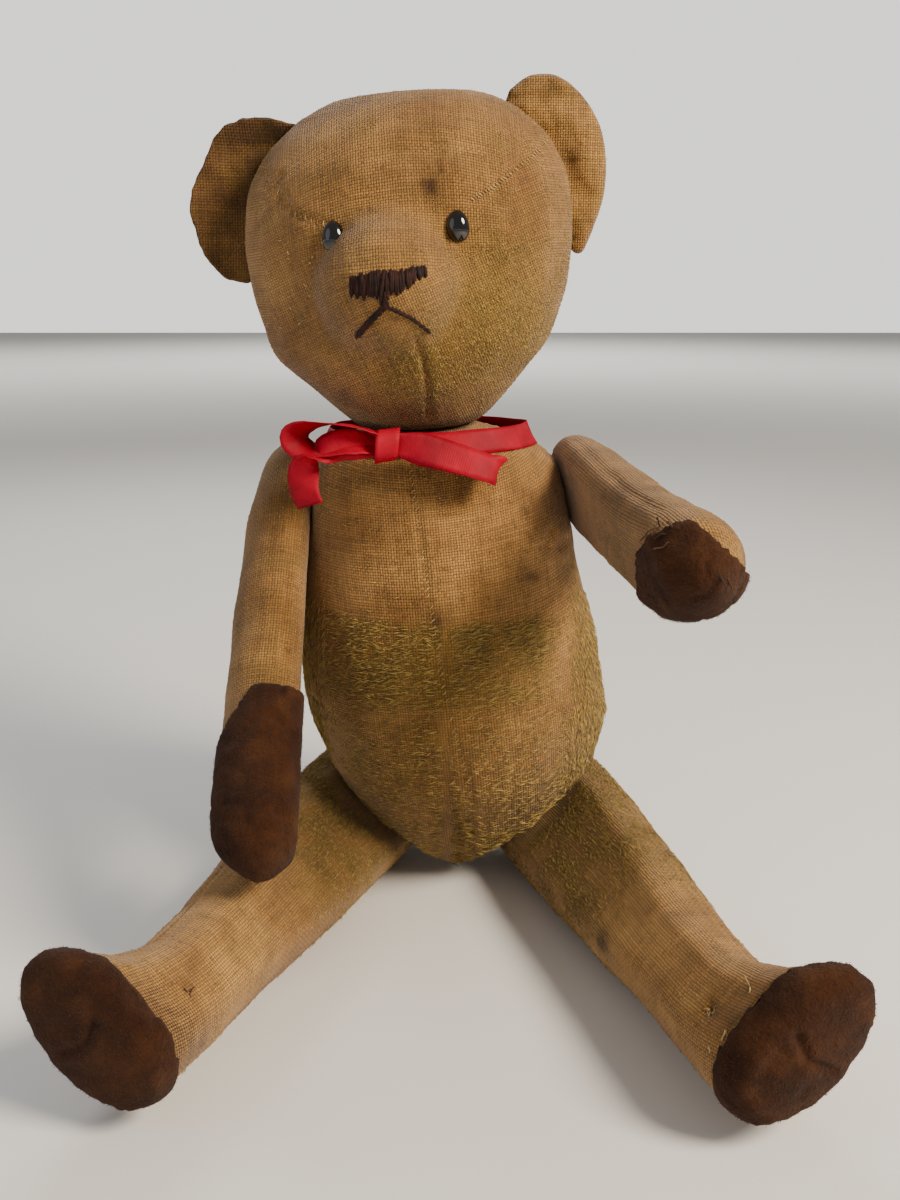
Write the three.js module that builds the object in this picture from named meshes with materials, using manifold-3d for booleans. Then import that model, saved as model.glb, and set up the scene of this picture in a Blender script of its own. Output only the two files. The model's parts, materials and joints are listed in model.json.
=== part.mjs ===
// A threadbare, disc-jointed teddy bear, sitting on the floor with its legs apart.
// Millimetres, +Z up, the bear faces -Y, and its own left side is at +X. The origin is on the
// floor, at the middle of the bear's base. Places below are measured from under the torso.
// Each stuffed part is a cloth cover round a wood-wool stuffing. The head, arms and legs
// turn on hardboard discs, and a split pin with two washers holds each pair of discs.
import * as THREE from "three";
import { mergeVertices } from "three/addons/utils/BufferGeometryUtils.js";
import Module from "manifold-3d";

const wasm = await Module();
wasm.setup();

// ---- driving dimensions ----
const clothThickness = 1.2; // worn mohair backing
const gap = 0.3; // between pieces that touch
const sides = 14; // facets round a limb
const wideSides = 20; // facets round the torso and head

const torsoPlace = [4.7, 100.1, 0]; // the point under the torso, from the origin

const discThickness = 3;
const washerThickness = 1;
const washerRadius = 7;
const pinRadius = 1.5; // the two legs of a split pin, side by side
const pinHoleRadius = 2.1;

const jointSizes = {
  neck: { torsoDisc: 14, limbDisc: 14 },
  arm: { torsoDisc: 10, limbDisc: 11 },
  leg: { torsoDisc: 17, limbDisc: 17 },
};

// Each joint: its point on the plane where the two covers meet, the outward direction of its
// axis, and how far the limb is swung forward from hanging straight down.
const joints = {
  neck: { at: [-11, -33, 208.5], outward: [-0.07, -0.02, 1] },
  arm_left: { at: [45, -31, 181], outward: [0.965, 0.1, 0.2], swing: 86 },
  arm_right: { at: [-63, -31, 177], outward: [-0.985, -0.14, 0.12], swing: 42 },
  leg_left: { at: [31, -16, 38.6], outward: [0.68, 0.18, -0.66], swing: 90 },
  leg_right: { at: [-30, -13, 38.6], outward: [-0.68, 0.22, -0.66], swing: 90 },
};

// ---- materials ----
const finishes = {
  cloth: { color: "#8a6638", roughness: 0.95 },
  woodWool: { color: "#c9a66b", roughness: 1 },
  felt: { color: "#3e2213", roughness: 0.95 },
  glass: { color: "#0b0a09", roughness: 0.08 },
  floss: { color: "#22100a", roughness: 0.8 },
  satin: { color: "#b4052a", roughness: 0.45 },
  hardboard: { color: "#6b4a2c", roughness: 0.85 },
  steel: { color: "#9a9c9e", roughness: 0.4, metalness: 1 },
};

function piece(name, solid, finish) {
  const mesh = new THREE.Mesh(geometryOf(solid), new THREE.MeshStandardMaterial(finishes[finish]));
  mesh.name = name;
  return mesh;
}

// ---- solids ----
function solidOf(geometry) {
  const bare = geometry.clone();
  bare.deleteAttribute("normal");
  bare.deleteAttribute("uv");
  const merged = mergeVertices(bare, 1e-4);
  const mesh = new wasm.Mesh({
    numProp: 3,
    vertProperties: new Float32Array(merged.getAttribute("position").array),
    triVerts: new Uint32Array(merged.index.array),
  });
  return new wasm.Manifold(mesh);
}

function geometryOf(solid) {
  const mesh = solid.getMesh();
  const geometry = new THREE.BufferGeometry();
  geometry.setAttribute("position", new THREE.BufferAttribute(mesh.vertProperties, 3));
  geometry.setIndex(new THREE.BufferAttribute(mesh.triVerts, 1));
  geometry.computeVertexNormals();
  return geometry;
}

function joined(solids) {
  return solids.reduce((whole, solid) => whole.add(solid));
}

// A cylinder along X from one x to another.
function rod(radius, from, to, facets = 16) {
  const geometry = new THREE.CylinderGeometry(radius, radius, to - from, facets);
  geometry.rotateZ(Math.PI / 2).translate((from + to) / 2, 0, 0);
  return solidOf(geometry);
}

function ball(radii, at, facets = 16) {
  const geometry = new THREE.SphereGeometry(1, facets, Math.round(facets * 0.6));
  geometry.scale(...radii).translate(...at);
  return solidOf(geometry);
}

// A block that keeps or cuts everything on one side of a plane across an axis.
function beyond(axis, level, direction = 1) {
  const size = 1000;
  const geometry = new THREE.BoxGeometry(size, size, size);
  const shift = new THREE.Vector3();
  shift[axis] = level + (direction * size) / 2;
  return solidOf(geometry.translate(shift.x, shift.y, shift.z));
}

// The shape of a stuffed part. Each station along its length gives a centre, the half width
// across and the half depth; the first and last stations are its two end points. The shape is
// a function: it gives the closed geometry at a depth under the cloth's outer face. Its rings
// lie flat, across Z.
function stuffedShape(stations, rings, facets = sides) {
  return (depth) => loft(inset(stations, depth), rings, facets);
}

function inset(stations, depth) {
  return stations.map(({ at, wide, deep }, i) => {
    if (wide > 0) return { at, wide: wide - depth, deep: deep - depth };
    const end = new THREE.Vector3(...at);
    const inward = new THREE.Vector3(...stations[i ? i - 1 : 1].at).sub(end).normalize();
    return { at: end.addScaledVector(inward, depth).toArray(), wide, deep };
  });
}

function loft(stations, rings, facets) {
  const centre = new THREE.CatmullRomCurve3(stations.map((s) => new THREE.Vector3(...s.at)));
  const section = new THREE.CatmullRomCurve3(stations.map((s) => new THREE.Vector3(s.wide, s.deep, 0)));
  const way = Math.sign(stations.at(-1).at[2] - stations[0].at[2]);
  const positions = [];
  const pole = (t) => positions.push(...centre.getPoint(t).toArray());
  pole(0);
  for (let ring = 0; ring < rings; ring += 1) {
    const t = ringPosition(ring, rings);
    const middle = centre.getPoint(t);
    const half = section.getPoint(t);
    for (let facet = 0; facet < facets; facet += 1) {
      const turn = (facet / facets) * 2 * Math.PI;
      const x = middle.x + half.x * Math.cos(turn);
      const y = middle.y + way * half.y * Math.sin(turn);
      positions.push(x, y, middle.z);
    }
  }
  pole(1);
  const last = positions.length / 3 - 1;
  const index = [];
  const corner = (ring, facet) => 1 + ring * facets + (facet % facets);
  for (let facet = 0; facet < facets; facet += 1) {
    index.push(0, corner(0, facet + 1), corner(0, facet));
    for (let ring = 0; ring < rings - 1; ring += 1) {
      const [a, b] = [corner(ring, facet), corner(ring, facet + 1)];
      const [c, d] = [corner(ring + 1, facet), corner(ring + 1, facet + 1)];
      index.push(a, b, d, a, d, c);
    }
    index.push(last, corner(rings - 1, facet), corner(rings - 1, facet + 1));
  }
  const geometry = new THREE.BufferGeometry();
  geometry.setAttribute("position", new THREE.Float32BufferAttribute(positions, 3));
  geometry.setIndex(index);
  return geometry;
}

// Rings crowd towards both ends, where the shape rounds over.
function ringPosition(ring, rings) {
  const even = (ring + 1) / (rings + 1);
  return even - Math.sin(even * 2 * Math.PI) * 0.055;
}

// The filled solid of one or more shapes, a given depth under the cloth's outer face.
function filled(shapes, depth = 0) {
  return joined(shapes.map((shape) => solidOf(shape(depth))));
}

// ---- joint frames ----
// A joint's own frame has +X out along its axis. A limb hangs along -Z in it until it swings.
function jointFrame({ at, outward, swing = 0 }) {
  const x = new THREE.Vector3(...outward).normalize();
  const hint = Math.abs(x.z) > 0.9 ? new THREE.Vector3(0, -1, 0) : new THREE.Vector3(0, 0, 1);
  const z = hint.addScaledVector(x, -hint.dot(x)).normalize();
  const y = new THREE.Vector3().crossVectors(z, x);
  const frame = new THREE.Group();
  frame.quaternion.setFromRotationMatrix(new THREE.Matrix4().makeBasis(x, y, z));
  frame.rotateX(THREE.MathUtils.degToRad(-Math.sign(outward[0]) * swing));
  frame.position.set(...at);
  frame.updateMatrixWorld(true);
  return frame;
}

function intoFrame(solid, frame) {
  return solid.transform(frame.matrixWorld.clone().invert().toArray());
}

function outOfFrame(solid, frame) {
  return solid.transform(frame.matrixWorld.toArray());
}

// ---- the disc joints ----
const wallFace = gap / 2; // outer face of each cover, from the joint's plane
const discFace = wallFace + clothThickness + gap;
const washerFace = discFace + discThickness + gap;
const pinFace = washerFace + washerThickness + gap;
const pinEyeRadius = 3.2;
const pocketDepth = pinFace + 2 * pinEyeRadius + 3;

function pierced(solid, radius = pinHoleRadius) {
  return solid.subtract(rod(radius, -pocketDepth, pocketDepth, 8));
}

// The split pin: an eye inside the limb, a shank through the joint, and two legs rolled
// outwards against the washer inside the torso.
function splitPin() {
  const eye = new THREE.TorusGeometry(pinEyeRadius, 1, 4, 8);
  eye.rotateX(Math.PI / 2).translate(pinFace + pinEyeRadius + 1, 0, 0);
  const parts = [solidOf(eye), rod(pinRadius, -pinFace - 1, pinFace + 1.2, 6)];
  const roll = 2.4; // radius of each leg's curl
  for (const way of [-1, 1]) {
    const curl = new THREE.CatmullRomCurve3(
      [0, 60, 120, 180].map((degrees) => {
        const turn = THREE.MathUtils.degToRad(degrees);
        const out = roll + 0.4 - roll * Math.cos(turn);
        return new THREE.Vector3(-pinFace - 1.2 - roll * Math.sin(turn), way * out, 0);
      }),
    );
    const section = new THREE.Shape([
      new THREE.Vector2(-0.55, -1.1),
      new THREE.Vector2(0.55, -1.1),
      new THREE.Vector2(0.55, 1.1),
      new THREE.Vector2(-0.55, 1.1),
    ]);
    parts.push(solidOf(new THREE.ExtrudeGeometry(section, { steps: 4, extrudePath: curl })));
  }
  return joined(parts);
}

function jointHardware(name, frame, { torsoDisc, limbDisc }) {
  const group = new THREE.Group();
  group.position.copy(frame.position);
  group.quaternion.copy(frame.quaternion);
  const sidesOfJoint = [
    ["", limbDisc, 1],
    ["torso_", torsoDisc, -1],
  ];
  for (const [side, radius, way] of sidesOfJoint) {
    const slab = (r, face, thickness) => {
      const span = [way * face, way * (face + thickness)].sort((a, b) => a - b);
      return pierced(rod(r, ...span, r > washerRadius ? 16 : 10));
    };
    group.add(piece(`${name}_${side}disc`, slab(radius, discFace, discThickness), "hardboard"));
    group.add(piece(`${name}_${side}washer`, slab(washerRadius, washerFace, washerThickness), "steel"));
  }
  group.add(piece(`${name}_pin`, splitPin(), "steel"));
  return group;
}

// The room for a disc, its washer and the end of the pin, on one side of a joint.
function pocket(radius, way) {
  const reach = (r, depth) => {
    const span = [-way * 5, way * depth].sort((a, b) => a - b);
    return rod(r, ...span, 14);
  };
  return reach(radius + 0.6, washerFace).add(reach(washerRadius + 1.5, pocketDepth));
}

// ---- covers and stuffings ----
// The cover and stuffing of a limb, both in its joint's frame. The limb is pressed flat where
// it meets the torso and where it rests on the floor.
function coverAndStuffing(shape, discRadius, frame) {
  const pressed = (depth, face) => {
    const floor = intoFrame(beyond("z", depth), frame);
    return filled([shape], depth).intersect(beyond("x", face)).intersect(floor);
  };
  const shell = pressed(0, wallFace).subtract(pressed(clothThickness, wallFace + clothThickness));
  const stuffing = pressed(clothThickness + gap, discFace).subtract(pocket(discRadius, 1));
  return { cover: pierced(shell), stuffing };
}

// A felt pad takes the place of the cloth inside a region, edge to edge with the cover.
function withPad(shell, region, wider) {
  return { pad: shell.intersect(region), cover: shell.subtract(wider) };
}

// ---- the torso ----
const torsoHeight = 212; // before the flat at the neck is cut
const torsoShape = stuffedShape(
  [
    { at: [2, -8, -12], wide: 0, deep: 0 },
    { at: [2, -6, -4], wide: 24, deep: 22 },
    { at: [3, -14, 18], wide: 41, deep: 37 },
    { at: [3, -25, 45], wide: 56, deep: 53 },
    { at: [2, -33, 75], wide: 66, deep: 61 },
    { at: [-1, -35, 103], wide: 69, deep: 62 },
    { at: [-5, -34, 135], wide: 63, deep: 56 },
    { at: [-9, -33, 165], wide: 59, deep: 49 },
    { at: [-10, -33, 188], wide: 58, deep: 43 },
    { at: [-11, -33, 204], wide: 39, deep: 34 },
    { at: [-11, -33, torsoHeight], wide: 0, deep: 0 },
  ],
  12,
  wideSides,
);

function torso(frames) {
  // The flat that a limb's cover turns against.
  const limbSpace = (name, level) => outOfFrame(beyond("x", level), frames[name]);
  const names = Object.keys(frames);
  let outer = filled([torsoShape]).intersect(beyond("z", 0));
  let inner = filled([torsoShape], clothThickness).intersect(beyond("z", clothThickness));
  let stuffing = filled([torsoShape], clothThickness + gap).intersect(beyond("z", clothThickness + gap));
  for (const name of names) {
    const frame = frames[name];
    outer = outer.subtract(limbSpace(name, -wallFace));
    inner = inner.subtract(limbSpace(name, -wallFace - clothThickness));
    stuffing = stuffing.subtract(limbSpace(name, -discFace));
    stuffing = stuffing.subtract(outOfFrame(pocket(sizesOf(name).torsoDisc, -1), frame));
  }
  let cover = outer.subtract(inner);
  for (const name of names) {
    cover = cover.subtract(outOfFrame(rod(pinHoleRadius, -5, 5, 8), frames[name]));
  }
  return [piece("torso_cover", cover, "cloth"), piece("torso_stuffing", stuffing, "woodWool")];
}

function sizesOf(name) {
  return jointSizes[name.split("_")[0]];
}

// ---- legs ----
const legLength = 223; // from the hip pin to the sole
function leg(name, frame) {
  const forward = -Math.sign(joints[name].outward[0]);
  const station = (along, out, wide, front, deep) => ({ at: [out, forward * front, -along], wide, deep });
  const shape = stuffedShape(
    [
      station(-32, 12, 0, 0, 0),
      station(-26, 12, 15, 0, 19),
      station(-6, 13, 21, 0, 31),
      station(38, 17, 25, 0, 30),
      station(85, 18, 25, 0, 27),
      station(130, 18, 21.5, 0, 23),
      station(165, 18, 19.5, 0, 20),
      station(190, 18, 20, 1, 21),
      station(205, 18, 20, 8, 27),
      station(214, 18, 19.5, 12, 30.5),
      station(220, 18, 16, 12, 27),
      station(legLength, 18, 0, 12, 0),
    ],
    13,
  );
  const { cover: shell, stuffing } = coverAndStuffing(shape, sizesOf(name).limbDisc, frame);
  const soleSeam = 210; // the sole's edge, measured along the leg
  const { pad, cover } = withPad(shell, beyond("z", -soleSeam - gap, -1), beyond("z", -soleSeam, -1));
  return limbPieces(name, frame, { cover, stuffing, pad }, name.replace("leg", "foot_pad"));
}

// ---- arms ----
const armLength = 172; // from the shoulder pin to the tip of the paw
function arm(name, frame) {
  const forward = -Math.sign(joints[name].outward[0]);
  const station = (along, out, wide, front, deep) => ({ at: [out, forward * front, -along], wide, deep });
  const shape = stuffedShape(
    [
      station(-23, 8, 0, 0, 0),
      station(-18, 8, 10.5, 0, 14),
      station(-2, 9, 15, 0, 21.5),
      station(35, 11, 16.5, 0, 21),
      station(75, 12, 16.5, 0, 19),
      station(112, 12, 17, 2, 18.5),
      station(140, 12, 18, 5, 19),
      station(160, 12, 15, 8, 15.5),
      station(armLength, 12, 0, 9, 0),
    ],
    10,
  );
  const { cover: shell, stuffing } = coverAndStuffing(shape, sizesOf(name).limbDisc, frame);
  const { turn, wrist, lean, inset } = pawPads[name];
  const region = (spare) => {
    const block = new THREE.BoxGeometry(200, 200, 200).translate(100 + inset - spare, 0, -100);
    block.rotateY(THREE.MathUtils.degToRad(lean)).rotateZ(THREE.MathUtils.degToRad(turn));
    return solidOf(block.translate(12, 0, -wrist + spare));
  };
  const { pad, cover } = withPad(shell, region(0), region(gap));
  return limbPieces(name, frame, { cover, stuffing, pad }, name.replace("arm", "paw_pad"));
}

// Each paw's felt: the way it faces round the arm, where its wrist edge lies, how far its
// side edge leans, and how far off the arm's middle that edge is.
const pawPads = {
  arm_left: { turn: 90, wrist: 128, lean: 28, inset: -8 },
  arm_right: { turn: 150, wrist: 96, lean: 6, inset: -6 },
};

function limbPieces(name, frame, { cover, stuffing, pad }, padName) {
  const group = new THREE.Group();
  group.position.copy(frame.position);
  group.quaternion.copy(frame.quaternion);
  group.add(piece(`${name}_cover`, cover, "cloth"));
  group.add(piece(`${name}_stuffing`, stuffing, "woodWool"));
  group.add(piece(padName, pad, "felt"));
  return group;
}

// ---- the head ----
// Its own frame sits at the neck, rolled a little towards the bear's right.
const headRoll = 4; // degrees
const headFrame = new THREE.Group();
headFrame.position.set(...joints.neck.at);
headFrame.rotation.y = THREE.MathUtils.degToRad(-headRoll);
headFrame.updateMatrixWorld(true);

const skull = stuffedShape(
  [
    { at: [-4, -4, -8], wide: 0, deep: 0 },
    { at: [-4, -3, 0], wide: 25, deep: 25 },
    { at: [-4, -6, 12], wide: 36.5, deep: 37.5 },
    { at: [-5, -7, 30], wide: 56, deep: 50 },
    { at: [-4, -3, 50], wide: 64, deep: 53 },
    { at: [-3, 0, 77], wide: 68, deep: 55 },
    { at: [-2, 2, 101], wide: 65, deep: 53 },
    { at: [-1, 3, 117], wide: 53, deep: 44 },
    { at: [0, 3, 128], wide: 34, deep: 28 },
    { at: [0, 3, 132], wide: 0, deep: 0 },
  ],
  12,
  wideSides,
);
const snout = { radii: [28, 35, 27], at: [-11, -44, 57] };

function snoutShape(depth) {
  const radii = snout.radii.map((radius) => radius - depth);
  return new THREE.SphereGeometry(1, 14, 9).scale(...radii).translate(...snout.at);
}

const eyeSize = { radii: [4.2, 3.6, 5.6], shank: 1.2, shankLength: 9 };
const eyes = { eye_left: [16.5, -54, 78], eye_right: [-29.5, -54, 76] };
const ears = {
  ear_left: { at: [56, 2, 101], radii: [20, 6, 34], lean: -20 },
  ear_right: { at: [-71, 4, 98], radii: [20, 6, 31], lean: 22 },
};

function head() {
  const shapes = [skull, snoutShape];
  const neckInHead = headFrame.matrixWorld.clone().invert().multiply(frames.neck.matrixWorld);
  const atNeck = (solid) => solid.transform(neckInHead.toArray());
  const above = (level) => atNeck(beyond("x", level));
  const outer = filled(shapes).intersect(above(wallFace));
  const inner = filled(shapes, clothThickness).intersect(above(wallFace + clothThickness));
  let cover = outer.subtract(inner).subtract(atNeck(rod(pinHoleRadius, -5, 5, 8)));
  let stuffing = filled(shapes, clothThickness + gap).intersect(above(discFace));
  stuffing = stuffing.subtract(atNeck(pocket(jointSizes.neck.limbDisc, 1)));
  const besideCover = filled(shapes, -gap);
  const group = new THREE.Group();
  group.position.copy(headFrame.position);
  group.quaternion.copy(headFrame.quaternion);

  for (const [name, at] of Object.entries(eyes)) {
    const shank = (radius, length) => {
      const geometry = new THREE.CylinderGeometry(radius, radius, length, 8);
      return solidOf(geometry.translate(at[0], at[1] + length / 2, at[2]));
    };
    const bead = ball(eyeSize.radii, at, 10).subtract(besideCover);
    group.add(piece(name, bead.add(shank(eyeSize.shank, eyeSize.shankLength)), "glass"));
    const hole = shank(eyeSize.shank + gap, eyeSize.shankLength + 1);
    cover = cover.subtract(hole);
    stuffing = stuffing.subtract(hole);
  }
  for (const [name, ear] of Object.entries(ears)) {
    const shape = new THREE.SphereGeometry(1, 12, 8).scale(...ear.radii);
    shape.rotateY(THREE.MathUtils.degToRad(ear.lean)).translate(...ear.at);
    group.add(piece(name, solidOf(shape).subtract(besideCover), "cloth"));
  }
  const flossLayer = filled(shapes, -gap - flossThickness).subtract(besideCover);
  for (const [name, { routes, halfWidth }] of Object.entries(stitching)) {
    const curtains = routes.flatMap((route) => curtainsAlong(route, halfWidth));
    group.add(piece(name, flossLayer.intersect(joined(curtains)), "floss"));
  }
  group.add(piece("head_cover", cover, "cloth"));
  group.add(piece("head_stuffing", stuffing, "woodWool"));
  return group;
}

// Floss laid on the snout. Its routes run across the face as [x, z] points.
const flossThickness = 1.2;
const stitching = {
  nose_stitching: { halfWidth: 3.8, routes: [[[-22, 57], [-14, 60], [-6, 60], [1, 58]]] },
  mouth_stitching: {
    halfWidth: 1,
    routes: [
      [[-10.4, 52.4], [-11, 50], [-16, 46], [-22, 41]],
      [[-11, 50], [-4, 47], [3, 41]],
    ],
  },
};

// Upright blocks through the face that follow a route from point to point.
function curtainsAlong(route, halfWidth) {
  return route.slice(1).map(([x, z], i) => {
    const [fromX, fromZ] = route[i];
    const length = Math.hypot(x - fromX, z - fromZ) + halfWidth;
    const block = new THREE.BoxGeometry(length, 60, 2 * halfWidth);
    block.rotateY(-Math.atan2(z - fromZ, x - fromX));
    return solidOf(block.translate((x + fromX) / 2, -70, (z + fromZ) / 2));
  });
}

// ---- the ribbon ----
// One length of ribbon: a band round the neck, and a bow at the front of it.
const ribbonWidth = 12;
const ribbonThickness = 0.9;
const neckBand = { at: [-9.5, -34, 206.1], radii: [47.5, 44.5], tilt: 1.5, thinnestRadius: 40 };

function neckRing() {
  // drawn as a ring of radius 1, then stretched
  const half = ribbonThickness / 2 / neckBand.thinnestRadius;
  const profile = [
    [1 - half, -ribbonWidth / 2],
    [1 + half, -ribbonWidth / 2],
    [1 + half, ribbonWidth / 2],
    [1 - half, ribbonWidth / 2],
    [1 - half, -ribbonWidth / 2],
  ].map((point) => new THREE.Vector2(...point));
  const ring = new THREE.LatheGeometry(profile, 22).rotateX(Math.PI / 2);
  ring.scale(neckBand.radii[0], neckBand.radii[1], 1);
  ring.rotateX(THREE.MathUtils.degToRad(neckBand.tilt));
  return solidOf(ring.translate(...neckBand.at));
}

// A flat strip along a path. Each point is [x, y, z] and the direction of the ribbon's width.
function strip(points, steps) {
  const middle = new THREE.CatmullRomCurve3(points.map(([at]) => new THREE.Vector3(...at)));
  const widths = new THREE.CatmullRomCurve3(points.map(([, width]) => new THREE.Vector3(...width)));
  const positions = [];
  for (let step = 0; step <= steps; step += 1) {
    const t = step / steps;
    const at = middle.getPoint(t);
    const width = widths.getPoint(t).normalize();
    const face = new THREE.Vector3().crossVectors(middle.getTangent(t), width).normalize();
    for (const [u, v] of [[-1, -1], [1, -1], [1, 1], [-1, 1]]) {
      const corner = at.clone().addScaledVector(width, (u * ribbonWidth) / 2);
      positions.push(...corner.addScaledVector(face, (v * ribbonThickness) / 2).toArray());
    }
  }
  const index = [0, 2, 1, 0, 3, 2];
  for (let step = 0; step < steps; step += 1) {
    for (let side = 0; side < 4; side += 1) {
      const [a, b] = [step * 4 + side, step * 4 + ((side + 1) % 4)];
      index.push(a, b, b + 4, a, b + 4, a + 4);
    }
  }
  const end = steps * 4;
  index.push(end, end + 1, end + 2, end, end + 2, end + 3);
  const geometry = new THREE.BufferGeometry();
  geometry.setAttribute("position", new THREE.Float32BufferAttribute(positions, 3));
  geometry.setIndex(index);
  return solidOf(geometry);
}

const bow = {
  knot: { radii: [7, 6, 6], at: [-27, -79.5, 204.5] },
  strips: [
    // the pressed-flat loop on the bear's left, front and back
    [
      [[-27, -82, 208], [0.2, 0, 1]], [[-10, -86, 203], [0.3, 0.1, 1]],
      [[6, -84, 198], [0.4, 0.2, 1]], [[14, -80, 195], [0.4, 0.3, 1]],
    ],
    // the open loop on its right: out along the top, and back underneath
    [[[-27, -80, 210], [0, 1, 0.2]], [[-44, -82, 215], [0, 1, 0]], [[-58, -80, 213], [0.2, 1, -0.2]],
      [[-63, -80, 208], [1, 0.4, 0]], [[-58, -80, 203], [0.2, 1, 0.4]],
      [[-42, -80, 205], [0, 1, 0.3]], [[-27, -79, 206], [0, 1, 0.3]]],
    // the tail that curls down beside it
    [
      [[-30, -79, 205], [0, 0.4, 1]], [[-50, -82, 206], [0.2, 0.3, 1]],
      [[-60, -82, 197], [0.9, 0.2, 0.5]], [[-58, -80, 184], [1, -0.3, 0.1]],
    ],
  ],
};

function ribbon() {
  const { knot, strips } = bow;
  const laid = strips.map((points) => strip(points, 7));
  return piece("ribbon", joined([neckRing(), ball(knot.radii, knot.at, 10), ...laid]), "satin");
}

// ---- the bear ----
const frames = Object.fromEntries(Object.entries(joints).map(([name, joint]) => [name, jointFrame(joint)]));
const bear = new THREE.Group();
bear.position.set(...torsoPlace);
bear.add(...torso(frames), head(), ribbon());
for (const side of ["left", "right"]) {
  bear.add(leg(`leg_${side}`, frames[`leg_${side}`]));
  bear.add(arm(`arm_${side}`, frames[`arm_${side}`]));
}
for (const [name, frame] of Object.entries(frames)) {
  bear.add(jointHardware(name, frame, sizesOf(name)));
}

export default bear;
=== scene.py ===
# The finish of a threadbare, disc-jointed teddy bear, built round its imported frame.
# Metres, +Z up. The bear faces -Y, and its own left side is at +X.
import json
import math

import bmesh
import bpy
import numpy as np
from mathutils import Matrix, Vector, noise
from mathutils.bvhtree import BVHTree
from mathutils.kdtree import KDTree


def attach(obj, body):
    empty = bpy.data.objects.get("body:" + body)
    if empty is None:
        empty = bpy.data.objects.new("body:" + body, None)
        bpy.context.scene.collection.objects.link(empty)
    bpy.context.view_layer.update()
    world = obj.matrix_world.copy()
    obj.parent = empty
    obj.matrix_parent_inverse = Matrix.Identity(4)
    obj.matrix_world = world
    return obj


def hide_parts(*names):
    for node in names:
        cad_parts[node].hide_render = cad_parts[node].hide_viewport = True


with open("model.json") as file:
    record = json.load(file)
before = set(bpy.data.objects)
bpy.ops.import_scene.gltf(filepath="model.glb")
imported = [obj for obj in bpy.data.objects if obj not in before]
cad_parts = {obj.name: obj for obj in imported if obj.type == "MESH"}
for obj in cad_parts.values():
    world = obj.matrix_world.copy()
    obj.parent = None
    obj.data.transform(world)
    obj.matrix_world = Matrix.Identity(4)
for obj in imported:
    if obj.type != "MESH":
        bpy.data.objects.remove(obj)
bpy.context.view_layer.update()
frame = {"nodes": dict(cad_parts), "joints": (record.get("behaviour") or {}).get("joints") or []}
nodes = frame["nodes"]
joints = {joint["child"]: joint for joint in frame["joints"]}
mm = 0.001
up = Vector((0, 0, 1))
viewpoint = Vector((0.0020, -0.4499, 0.2642))
rng = np.random.default_rng(7)
print("frame loaded")


def linearColour(code):
    values = [int(code[i:i + 2], 16) / 255 for i in (1, 3, 5)]
    return tuple(v / 12.92 if v <= 0.04045 else ((v + 0.055) / 1.055) ** 2.4 for v in values) + (1.0,)


def addNode(tree, kind, inputs=None, out=0, **settings):
    # an input is a link, a colour in hex or a plain value; one of the outputs is given back
    node = tree.nodes.new("ShaderNode" + kind)
    for name, value in settings.items():
        setattr(node, name, value)
    for socket, value in (inputs or {}).items():
        if isinstance(value, bpy.types.NodeSocket):
            tree.links.new(value, node.inputs[socket])
        else:
            node.inputs[socket].default_value = linearColour(value) if isinstance(value, str) else value
    return node.outputs[out] if node.outputs else None


def newMaterial(name):
    material = bpy.data.materials.new(name)
    material.use_nodes = True
    material.node_tree.nodes.clear()
    return material, material.node_tree


def closeMaterial(tree, inputs):
    shader = addNode(tree, "BsdfPrincipled", inputs)
    addNode(tree, "OutputMaterial", {"Surface": shader})


def betweenColours(tree, amount, low, high, dark, light):
    # goes from dark to light while the amount goes from low to high
    share = addNode(tree, "MapRange", {0: amount, 1: low, 2: high})
    return addNode(tree, "Mix", {0: share, 6: dark, 7: light}, 2, data_type="RGBA")


def shaded(tree, colour, amount, low, high, dim, bright):
    # darkens and lightens a colour while the amount goes from low to high
    shade = addNode(tree, "MapRange", {0: amount, 1: low, 2: high, 3: dim, 4: bright})
    grey = addNode(tree, "CombineColor", {0: shade, 1: shade, 2: shade})
    return addNode(tree, "Mix", {0: 1.0, 6: colour, 7: grey}, 2, data_type="RGBA", blend_type="MULTIPLY")


# Plain-weave mohair backing, its pile worn off: every thread shows, with dark between them.
# Real threads are about 0.8 mm apart, and these are a little coarser, to show.
clothLooks = {
    "pitch": 1.1 * mm,
    "wander": 0.6,  # of a thread's pitch, how far the weave drifts
    "threadLight": "#bf8f50",
    "threadDark": "#855a26",
    # painted shade for the hollows between the threads; it also colours the dark specks
    "gap": "#3f260c",
    "pileTint": "#7f6322",
    # dark tint for real soil and stains, also used for painted shade where parts meet
    "soilAndShadeTint": "#341c06",
    "weaveDepth": 0.45 * mm,
    "wear": {"pile": 0.85, "soilAndShade": 0.9, "open": 0.4},  # how strongly each attribute shows
}


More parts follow.
